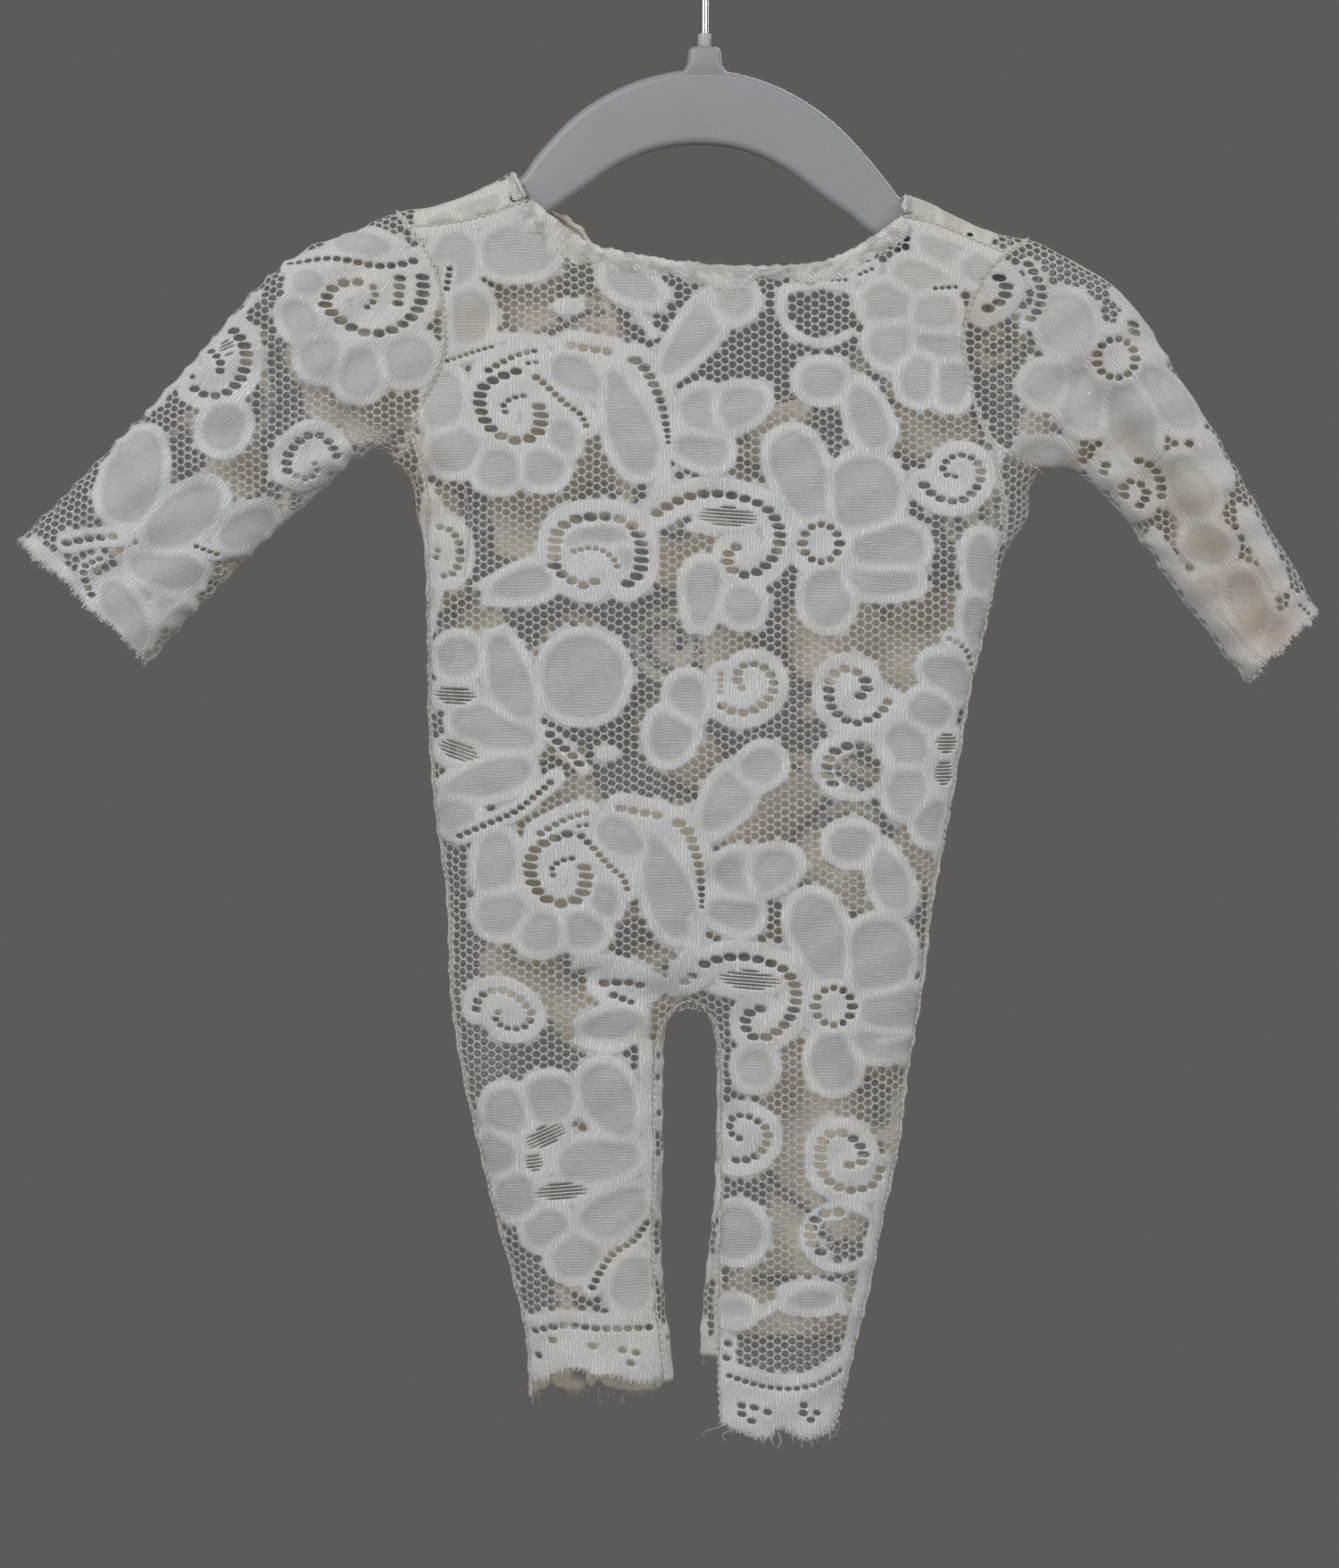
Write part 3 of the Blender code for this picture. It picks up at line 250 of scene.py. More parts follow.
class Form:
    """The hollow garment: its folded edges, its fullness and its creases."""

    STEP = 0.25         # between the places kept along a fold
    REACH = 8.0         # how far each fold's line runs on past its ends

    def __init__(self, folds):
        feet, inward = [], []
        for path, cloth_on_left in folds:
            points = path.longer(self.REACH).spaced(self.STEP)
            way = unit(np.vstack([points[3:4] - points[0:1]] * 3 + [points[6:] - points[:-6]]
                                 + [points[-1:] - points[-4:-3]] * 3))
            left = np.stack([-way[:, 1], way[:, 0]], axis=-1)
            feet.append(points)
            inward.append(left if cloth_on_left else -left)
        self.feet = np.vstack(feet)
        self.inward = np.vstack(inward)
        self.tree = near_tree(self.feet)
        self.foot_depth = self.half_depth(self.feet)
        turn = np.linspace(0.0, math.pi / 2.0, 400)
        speed = np.sqrt((FOLD_REACH * np.sin(turn)) ** 2 + np.cos(turn) ** 2)
        self.in_plane = FOLD_REACH * (1.0 - np.cos(turn))
        self.arc = np.concatenate([[0.0], np.cumsum((speed[1:] + speed[:-1]) / 2.0 * np.diff(turn))])
        self.extra = self.arc[-1] - FOLD_REACH

    def half_depth(self, spots):
        table = np.array(FULLNESS)
        apart = ((spots[:, None, :] - table[:, :2]) ** 2).sum(axis=2)
        weights = np.exp(-apart / (2.0 * FULLNESS_SPREAD**2)) + 1e-9
        return (weights * table[:, 2]).sum(axis=1) / weights.sum(axis=1)

    def nearest_fold(self, spots):
        """How far in from the nearest fold, the way in, and the half depth there."""
        found = np.array([self.tree.find((x, z, 0.0))[1] for x, z in spots])
        away = spots - self.feet[found]
        way = self.inward[found]
        inside = (away * way).sum(axis=1)
        far = inside > 0.8
        straight = np.linalg.norm(away, axis=1)
        return (np.where(far, straight, inside), np.where(far[:, None], unit(away), way),
                self.foot_depth[found])

    def flatten(self, spots):
        """Where spots of the front view lie on the flat pattern."""
        inside, way, depth = self.nearest_fold(spots)
        inside = np.maximum(inside, 0.0)
        share = inside / depth
        arc = np.where(share < FOLD_REACH, np.interp(share, self.in_plane, self.arc),
                       share + self.extra) * depth
        return spots + way * (arc - self.extra * depth - inside)[:, None]

    def fold_up(self, flat):
        """Where places of the flat pattern lie in the front view."""
        inside, way, depth = self.nearest_fold(flat)
        share = np.maximum(inside / depth + self.extra, 0.0)
        back = np.where(share < self.arc[-1], np.interp(share, self.arc, self.in_plane),
                        share - self.extra) * depth
        return flat - way * (inside - back)[:, None]

    def crease_depth(self, spots, side):
        total = np.zeros(len(spots))
        for x0, z0, x1, z1, depth, width in CREASES[side]:
            start = np.array((x0, z0), float)
            span = np.array((x1, z1), float) - start
            along = np.clip((spots - start) @ span / (span @ span), 0.0, 1.0)
            apart = np.linalg.norm(spots - start - along[:, None] * span, axis=1)
            total += depth * np.exp(-((apart / width) ** 2))
        return total

    def wall(self, spots, side):
        """Middle of the wall over the spots, and the way out of it."""
        inside, way, _ = self.nearest_fold(spots)
        depth = self.half_depth(spots)
        slack = 1.0 - np.clip(inside / (FOLD_REACH * depth), 0.0, 1.0)
        rise = np.sqrt(1.0 - slack**2)
        y = side * rise * (depth - self.crease_depth(spots, side))
        points = np.stack([spots[:, 0], y, spots[:, 1]], axis=1)
        points[:, ::2] -= way * (slack**2 * pucker(spots))[:, None]
        points[:, 1] += ripple(spots)
        lean = -way * (slack / FOLD_REACH)[:, None]
        return points, unit(np.stack([lean[:, 0], side * rise, lean[:, 1]], axis=1))


# ---------------------------------------------------------------------------------------------
# The lace chart, drawn on the flat pattern. A motif is a ribbed fill with a satin edge, a row
# is a line of eyelets in satin, a stem is satin alone, and all the rest is net.
# Fills: x, z, half width, half height and turn in degrees.
# Rows: points, width at the first end and at the last, and the satin beside them if it isn't EDGE.
# Stems: points and width. Rings: x, z, radius, eyelets, width. Slits: as fills, cut with fine slots.
# Windows: x, z, half width and half height of an oval of net in satin. Eyes: x, z of single eyelets.

REPEATED = {
    "fills": [
        (-74.8, -161.8, 5.4, 8.6, -6), (-71.4, -176, 7, 6.2, 0), (-58.8, -181.4, 6.4, 5.4, 0),
        (-46, -180.8, 6, 5.2, 0), (-40.4, -172.4, 3.8, 5, 0), (-36, -154.6, 5.6, 8.2, 62, -0.45),
        (-21.8, -168, 7.4, 15.6, 20, 0.55), (-0.2, -165.4, 6.4, 6.6, 30, -0.3), (9, -163.8, 6, 8.6, -70, 0.3),
        (-1, -175.8, 5.2, 7.8, 80, 0.5), (27.8, -184, 7.8, 14, 22, -0.3), (45.6, -188.6, 9.8, 10.6, -8),
        (33.6, -156.2, 6.4, 5, 0), (46.4, -166.2, 5.4, 9.4, 22, 0.4), (52.6, -203.6, 10.2, 6.6, 0),
        (50.4, -213.2, 10.4, 4, 0), (35, -218.2, 6.6, 8.2, 0), (10.8, -220.2, 5.2, 5.2, 0)],
    "rows": [
        ([(-33.8, -169), (-35.2, -166), (-38.5, -163.6), (-42, -160.6), (-46, -156.8), (-49.5, -154)], 1.7, 2.3),
        ([(-53.8, -153.4), (-59.2, -155.4), (-63, -157.8), (-64.2, -161.2), (-63.6, -165.2), (-61.6, -169),
          (-57.6, -172.2), (-52.2, -173.2), (-48, -171.4), (-46.8, -168.2), (-46.8, -165), (-48, -162)], 3.4, 4),
        ([(-51.6, -160.4), (-55, -161.2), (-57.4, -163.2), (-56.8, -165.2)], 2, 1.6),
        ([(-48.6, -147.6), (-53.5, -148.8), (-58.5, -151.2), (-62.5, -153.6)], 1.8, 2.4),
        ([(-48.2, -150.9), (-52.2, -151.3)], 1.6, 1.6), ([(-38, -146.2), (-32.5, -147.2), (-26, -148.2)], 3, 3),
        ([(-19.8, -150.4), (-16.6, -153.2), (-14.4, -157.6), (-12.6, -162), (-11.4, -166.5), (-10.6, -171.5),
          (-10.2, -175)], 3.8, 1.2),
        ([(-13.5, -194), (-9, -191.2), (-3.2, -189), (1.8, -188.4), (6.8, -188.8), (11.8, -190), (16.4, -191.8),
          (19.6, -194.8), (21.2, -198), (21.4, -202), (20.2, -205.6), (17.6, -208.8), (14, -211.2), (9.2, -211.2),
          (6.6, -208.4), (7.2, -204.8), (11.4, -203)], 3.6, 3.2)],
    "stems": [([(-12.5, -178), (-11.5, -184), (-13.5, -189)], 4.6), ([(-4, -198), (3, -199.5)], 3)],
    "rings": [(33.2, -202.6, 5.3, 12, 3)],
    "slits": [(6.6, -195, 9, 2.7, -4)]}
BODY = {
    "fills": [
        (-53, -118.8, 10.8, 7.2, 6), (-71.5, -121.5, 6.2, 8, -12), (-67.5, -137.5, 6, 7.8, 0),
        (-20.5, -128.2, 5.4, 8.4, 58, -0.5), (-3.4, -143.8, 5.8, 13.4, -38, -0.55),
        (6.6, -134.4, 5.6, 7.6, -60, -0.4), (52, -134, 6.8, 5.8, 0), (53.4, -145.2, 6.2, 6, 0),
        (61.6, -126.4, 4.8, 7.6, 78, -0.4), (68.6, -117.2, 5.8, 7.2, 70, 0.3), (77, -123.4, 4.4, 6.2, 60, 0.4),
        (61.2, -155, 5.2, 7, 0), (70.4, -156.2, 4.8, 7, 0), (65.8, -136.6, 6, 5.4, 0), (67, -146, 4.6, 8, 74, 0.4),
        (79.2, -208.5, 4.2, 8.4, 4), (78, -224.5, 4, 7.2, 2), (-52.2, -214.2, 5, 8.8, -76, -0.5),
        (-0.6, -217, 5.6, 9, -6, -0.45), (-30, -200.8, 10.6, 3.4, 0), (-22.8, -207, 2.9, 5.4, 26),
        (-70.6, -235, 6.2, 5.6, 0), (-55.6, -241.5, 6.2, 13, 17, 0.3), (-34.6, -240.8, 11.6, 11.8, -10),
        (-60, -255.4, 6.2, 12.6, 74, -0.3), (-62, -269.8, 5.4, 12.8, -74, -0.35), (-71.5, -280, 6.2, 5.2, 0),
        (-5, -247, 5, 6.6, 0), (-9.6, -257.4, 6.6, 7.4, -14, -0.25), (15.2, -266.8, 5.4, 6.8, -58, -0.3),
        (6, -276.2, 6.4, 9.6, -36, -0.45), (69.8, -240.4, 6, 8, 60, 0.3), (64.4, -250.2, 6.2, 5.4, 0),
        (57.6, -260, 6.2, 6.2, 0), (57.8, -273.2, 5.6, 6.8, 0), (65.8, -281.8, 5.6, 6, 0)],
    "rows": [
        ([(-42.8, -209), (-42.8, -204), (-41.8, -199.2), (-37.5, -196), (-31.5, -195), (-25.5, -195.4),
          (-20.5, -197.8), (-18.2, -202), (-18, -206.5), (-18.6, -211), (-22.2, -214.4)], 3.8, 3.8),
        ([(-37.2, -205), (-33.2, -204), (-29, -204.8), (-26, -207.2), (-24.4, -210.4)], 1.7, 1.7),
        ([(-40.6, -211.4), (-36.8, -213.8), (-31.8, -214.6), (-31, -211.4)], 3.4, 3),
        ([(62.6, -186), (65.4, -188.8), (69.4, -190.4), (73.6, -190.2), (77, -187.4), (78.8, -183.8), (78.2, -180.2),
          (74.6, -177.6), (70.2, -178.2), (68, -181.2), (70, -183.6), (72.6, -183.2)], 3.2, 1.8),
        ([(-78.5, -198.2), (-74.5, -198), (-71.2, -200.2), (-69.9, -204), (-70.2, -208.5), (-72.6, -211.6),
          (-77, -211.4)], 2.3, 2.3), ([(-76.6, -204.6), (-77.8, -208)], 1.8, 1.8),
        ([(5, -249), (8.5, -250.8), (12.2, -250.8), (15.6, -249.4), (18, -247.2), (19.4, -244.4), (19.4, -241.4),
          (17.8, -238.8), (14.6, -237.2), (11.4, -237.4), (9.4, -240), (10, -243.4), (12.8, -244.8)], 2.9, 2.4),
        ([(4.6, -240), (4.4, -246)], 1.5, 1.5),
        ([(52.2, -247.8), (50.6, -250.4), (47.2, -252.6), (43, -253.8), (38.8, -252), (36.2, -249.2), (35.4, -245.6),
          (35.8, -241.8), (38.4, -238.8), (42.2, -238.8), (45.4, -241), (46.2, -244.2), (43.6, -246.8)], 2.6, 3.4),
        ([(40.6, -260.4), (37.2, -261.8), (35.4, -264.4), (34.8, -267.2), (35.6, -270),
          (38.4, -272.4)], 3.6, 3.2, 0.5),
        ([(-72.8, -124), (-73.8, -132), (-73.6, -140), (-72.4, -145.5)], 1.7, 1.7, 1.6),
        ([(-77, -151.5), (-72, -149.8), (-66, -147.8), (-60.5, -146.2)], 1.5, 1.5, 1.6),
        ([(66, -129.6), (72, -129.2)], 1.4, 1.4, 1.5), ([(34.5, -127.2), (41.5, -127.2)], 1.4, 1.4, 1.6),
        ([(44.5, -125.6), (48.5, -123.8)], 1.4, 1.4, 1.6),
        ([(-44, -257), (-40.5, -260.5), (-37, -263.8), (-34.5, -267)], 3, 3, 0.5),
        ([(-70, -286), (-62, -282.6), (-54, -279), (-47, -273.5), (-42.5, -269.5)], 2.2, 2, 1.8),
        ([(70, -229.8), (75.5, -233.5), (77.5, -238.5)], 1.8, 1.8, 1.6)],
    "stems": [
        ([(-84, -113.4), (-70, -111.6), (-52, -106.8)], 4.6), ([(57.5, -111.5), (70, -114.5), (84, -120.5)], 4.6),
        ([(-60, -143.5), (-50, -144.2), (-42, -145)], 3.2), ([(-41, -134.8), (-36.4, -134.8)], 4.8),
        ([(-28.4, -262.6), (-26.6, -262.6)], 5),
        ([(22.4, -131), (22, -137), (24.5, -141.6), (30, -145), (37, -144.8), (41, -142.8)], 2.9),
        ([(23, -130), (33, -128.6), (42, -130.4), (46.5, -136)], 3), ([(-85, -182), (-77, -193)], 6),
        ([(-76, -216), (-80, -228)], 3), ([(-14.5, -143), (-19, -137)], 3),
        ([(-36, -322.4), (-30, -321.4), (-22, -322.8), (-14, -327), (-8, -331)], 3.8),
        ([(-36, -344.4), (-26, -346.6), (-18, -341)], 3.2), ([(74, -262), (68, -292)], 4)],
    "slits": [
        (-71.6, -245.8, 6.6, 2.6, -3), (-70.6, -261.6, 6.4, 2.5, -18), (69.6, -259.5, 3.6, 3, 0),
        (69, -268, 3.2, 3.6, 0)],
    "windows": [(42.6, -266.2, 9.6, 7.4)]}
LEGS = {
    "fills": [
        (-27, -361.6, 7.8, 11, 24, -0.3), (-44.4, -361.2, 7, 6.4, 6), (-56.6, -365, 6.2, 7, 8),
        (-60, -376.8, 5.4, 6.2, 6), (-30, -378.6, 6.6, 11.6, -82, 0.3), (-54.2, -388.8, 6.4, 6, 0),
        (-45.2, -397.8, 6.2, 5.2, 15), (-25, -393.2, 6.4, 11.2, -62, 0.35), (-36.8, -405.8, 6.8, 6.2, 15),
        (-20.4, -413.8, 6, 7.8, -10), (-26, -340, 4.6, 8.6, -80, -0.3), (9, -399.2, 7.4, 7.4, 0),
        (30.4, -418, 6.8, 2.8, 0), (9, -421.8, 4.4, 3, 0)],
    "rows": [
        ([(-65.4, -335.4), (-64.4, -332.2), (-61.2, -330.4), (-57.4, -330.2), (-54, -331.8), (-51.2, -334),
          (-49.4, -337.2), (-51.4, -340.4), (-55, -341), (-58.4, -339.8), (-59.8, -337.2), (-57, -335.6)], 2.7, 1.8),
        ([(5.4, -378), (9.2, -378.6), (13.2, -378), (16.2, -376), (17.8, -373), (17.8, -369.8), (15, -367.2),
          (11.4, -365.8), (7.4, -366.6), (6.6, -370.2), (10.2, -372.6)], 2.8, 2.2),
        ([(51, -381.6), (49.2, -385.2), (44.8, -386.8), (40.4, -387), (36.2, -385), (33.4, -381.8), (33, -377.8),
          (33.4, -374), (35.4, -371.2), (39.4, -370.8), (43.2, -373), (45.4, -376.4), (44.4, -379.6),
          (41, -379.8)], 3, 3.2),
        ([(38.4, -393.4), (34, -393.8), (31, -396.2), (30, -399.4), (30.8, -402.4), (33.6, -405)], 3.6, 3.4, 0.5),
        ([(-32, -414.8), (-29, -409), (-26, -405.2), (-20, -401.5), (-14.2, -394)], 2.1, 2.1, 2),
        ([(-13.8, -400), (-13.6, -412.5)], 1.9, 1.9, 1.4),
        ([(-49, -427.5), (-41, -425.8), (-30, -426.6), (-12, -426.2)], 2.6, 2.6),
        ([(-28.6, -328), (-22, -327.8), (-15.4, -329.4)], 3.2, 2.6), ([(-26, -331.4), (-20.4, -333.6)], 2.6, 2),
        ([(7, -440), (15, -442.6), (24, -443.6), (33, -442.2), (39.5, -438.8)], 2, 2),
        ([(-5.5, -328), (-2, -324.8)], 2.8, 2.8)],
    "stems": [
        ([(-16.4, -346), (-15.6, -366), (-15, -390)], 4.6), ([(-50, -432.6), (-10, -432.6)], 19.6),
        ([(3, -449.5), (22, -451), (42, -448)], 15),
        ([(53.5, -383), (50, -398), (47, -412), (43.5, -428), (40.5, -444)], 5.2),
        ([(6, -424), (16, -422.8), (22, -418.5), (29, -414.6), (36, -416), (40, -422)], 2.6),
        ([(50, -345), (60, -343)], 2.5)],
    "slits": [(-45.4, -371.6, 6.4, 2.7, 24), (-48.6, -379, 2.6, 2.6, 8), (-41, -387.4, 8, 2.3, 4)],
    "windows": [(39.2, -400.4, 9.6, 7.6)],
    "eyes": [
        (-43.5, -430), (-42, -431.4), (-32, -431.6), (-33.5, -430.6), (-23.5, -432.6), (-19.5, -433.4), (-21, -436.4),
        (-48, -434.5), (-27.5, -439), (-24.5, -441), (-37.5, -438.8), (10.6, -448.5), (14.2, -449), (10.6, -450.8),
        (18, -450.3), (13.4, -452.8), (16.8, -452), (28.4, -448.4), (28.2, -450.6), (32.2, -450.7), (30.4, -452.6),
        (6.6, -431), (6.2, -435)]}
SLEEVE_LEFT = {
    "fills": [
        (-97.6, -116.6, 4.4, 8.4, 76, -0.5), (-113.4, -127.9, 4.4, 3.6, 0), (-115.4, -138.6, 4.6, 6, 30),
        (-109.4, -149, 6, 6, 0), (-98.6, -153.8, 6.2, 7, 0), (-84.6, -149.8, 7.2, 6.2, 20),
        (-137, -169.4, 5.8, 6.8, -25), (-163, -183.2, 9, 13.6, -14, 0.25), (-148.4, -194.8, 7.6, 12.6, -52, 0.3),
        (-153.6, -210, 5.8, 10.4, 80, 0.3), (-165.4, -222.8, 5, 10.2, 30), (-130.4, -198.4, 8.4, 4.8, 28),
        (-151, -221.5, 5.4, 2.8, -20)],
    "rows": [
        ([(-119, -121.6), (-113, -121), (-106.5, -121), (-100, -122), (-93, -123.2), (-87, -122.8),
          (-81, -121.2)], 2.2, 3, 2.4),
        ([(-80.6, -126.4), (-80.4, -131), (-82.4, -136.4), (-86.2, -140), (-91, -142.2), (-96.5, -142.4),
          (-101.2, -140.6), (-105.2, -137.8), (-108.2, -134.4), (-106.8, -130.4), (-103, -128.2),
          (-98.4, -127.8)], 3.6, 3.6), ([(-87, -126.8), (-87.2, -131.4), (-87.8, -136)], 3, 3),
        ([(-94.6, -129.4), (-94, -132.4), (-96.4, -135)], 2, 2),
        ([(-119, -181.8), (-119.2, -178), (-117, -174.8), (-113.4, -172), (-109.6, -171.8), (-106.4, -174.6),
          (-104.2, -178.6)], 2.8, 2.8),
        ([(-116.4, -183.4), (-113.2, -184.2), (-110.6, -182.2), (-111.4, -179)], 2, 1.8),
        ([(-135.2, -141.2), (-131.8, -145.2), (-130.8, -149.4), (-131.6, -153.2), (-133.6, -157), (-137.4, -160),
          (-142, -160.2), (-146.4, -157.8)], 3.8, 3),
        ([(-141.6, -147), (-138.2, -150.8), (-138.6, -154.8)], 2.6, 2.4), ([(-146.8, -154.4), (-147.4, -154)], 2, 2),
        ([(-182, -202.4), (-177, -201.4), (-171, -200.8), (-165.6, -200.6)], 2.9, 2.9, 1.6),
        ([(-172.5, -207), (-177, -209.4), (-176.6, -213.5), (-174.8, -217.5)], 2, 2, 0.8),
        ([(-174.5, -222), (-172.4, -225)], 1.8, 1.8, 1.2), ([(-145, -203.4), (-139, -205.8)], 1.7, 1.7, 1.4)],
    "stems": [
        ([(-193, -202), (-183, -211), (-173, -222.5), (-162, -235)], 4.6),
        ([(-128, -130), (-138, -141), (-150, -153), (-160, -164)], 2.6), ([(-157, -226), (-146, -216)], 3.2)],
    "slits": [(-136.6, -146.4, 2.7, 2.4, 20)]}
SLEEVE_RIGHT = {
    "fills": [
        (103.4, -139.8, 7.6, 8.6, 20), (98, -157.2, 6.6, 5.6, 0), (108.2, -161.8, 6.8, 9, 8),
        (121.6, -167.6, 7.2, 11, 22, -0.3), (132.6, -160.4, 6, 11.4, 42, 0.3), (97, -177.6, 7, 3.6, 0),
        (138.8, -186.2, 6.2, 9.4, 30, 0.3), (143.8, -202.8, 6.6, 5, -30), (155.4, -220.6, 5.4, 10.6, 24, -0.3),
        (164.2, -229.4, 5.4, 4.8, 0), (143, -216, 5, 3.8, 30)],
    "rows": [
        ([(84.2, -126.6), (86.4, -129.6), (84.4, -133.4), (79.8, -136)], 3.8, 3.8),
        ([(92.6, -122.6), (95, -127), (96.4, -131.5), (95, -136), (92, -139.4)], 2.9, 2.9, 0.8),
        ([(114.6, -180.2), (113.2, -184.2)], 2.6, 2.6),
        ([(119.6, -189), (119.8, -186), (123.2, -184.8), (126.2, -187.4), (124.6, -191.4), (121.6, -193)], 2.7, 2.6),
        ([(124.2, -178.8), (128.2, -180.8), (130.4, -185), (130.6, -190)], 2.8, 2.4, 1.2),
        ([(122.8, -139.6), (123.4, -143.6)], 3.4, 3.4), ([(170.5, -220), (173.5, -222)], 1.4, 1.4)],
    "stems": [
        ([(119, -130.5), (126, -138), (131, -148)], 6.5), ([(144, -173), (149, -183)], 8),
        ([(155.5, -195), (164.5, -213)], 7), ([(128, -202), (137, -215), (148, -230), (156, -240)], 6),
        ([(157, -238), (166, -232), (173, -223)], 4.5), ([(88, -180), (106, -182)], 4)],
    "rings": [(117.5, -149.8, 5.5, 13, 3)]}


def second_repeat(x, z):
    """Where a place of the motifs lies one pattern repeat lower."""
    return 9.7 + 0.93 * x + 0.1 * (z + 165.0), z - 132.0


def charted(*tables, place=None):
    """The tables together, with their places moved."""
    place = place or (lambda x, z: (x, z))
    mirror = place(1.0, 0.0)[0] < place(0.0, 0.0)[0]
    whole = {kind: [] for kind in ("fills", "rows", "stems", "rings", "slits", "windows", "eyes")}
    for table in tables:
        for kind, motifs in table.items():
            for motif in motifs:
                if kind in ("rows", "stems"):
                    moved = ([place(x, z) for x, z in motif[0]],) + motif[1:]
                else:
                    moved = place(*motif[:2]) + motif[2:]
                if mirror and kind in ("fills", "slits"):
                    moved = moved[:4] + (-moved[4],) + moved[5:]
                whole[kind].append(moved)
    return whole


def circle(x, z, half_width, half_height, count):
    """A closed line round a place."""
    turn = np.linspace(0.0, 2.0 * math.pi, count)
    return np.stack([x + half_width * np.cos(turn), z + half_height * np.sin(turn)], axis=1)


def oval_depth(flat, x, z, half_width, half_height, turn, point=0.0, power=2.2):
    """How far places lie inside a rounded shape. A point above nothing narrows its upper end, and one
    below nothing its lower end."""
    c, s = math.cos(math.radians(turn)), math.sin(math.radians(turn))
    across, up = flat[:, 0] - x, flat[:, 1] - z
    end = (up * c - across * s) / half_height
    width = half_width * (1.0 - abs(point) * np.clip(0.5 + 0.5 * math.copysign(1.0, point) * end, 0.0, 1.0) ** 1.4)
    u = np.abs(across * c + up * s) / width + 1e-6
    v = np.abs(end) + 1e-6
    reach = (u**power + v**power) ** (1.0 / power)
    slope = np.hypot(u ** (power - 1.0) / width, v ** (power - 1.0) / half_height)
    return (1.0 - reach) * reach ** (power - 1.0) / slope


def oval(angles, half_width, half_height, turn, power=0.85):
    """Points round a rounded shape."""
    c, s = math.cos(math.radians(turn)), math.sin(math.radians(turn))
    u = half_width * np.sign(np.cos(angles)) * np.abs(np.cos(angles)) ** power
    v = half_height * np.sign(np.sin(angles)) * np.abs(np.sin(angles)) ** power
    return np.stack([u * c - v * s, u * s + v * c], axis=1)


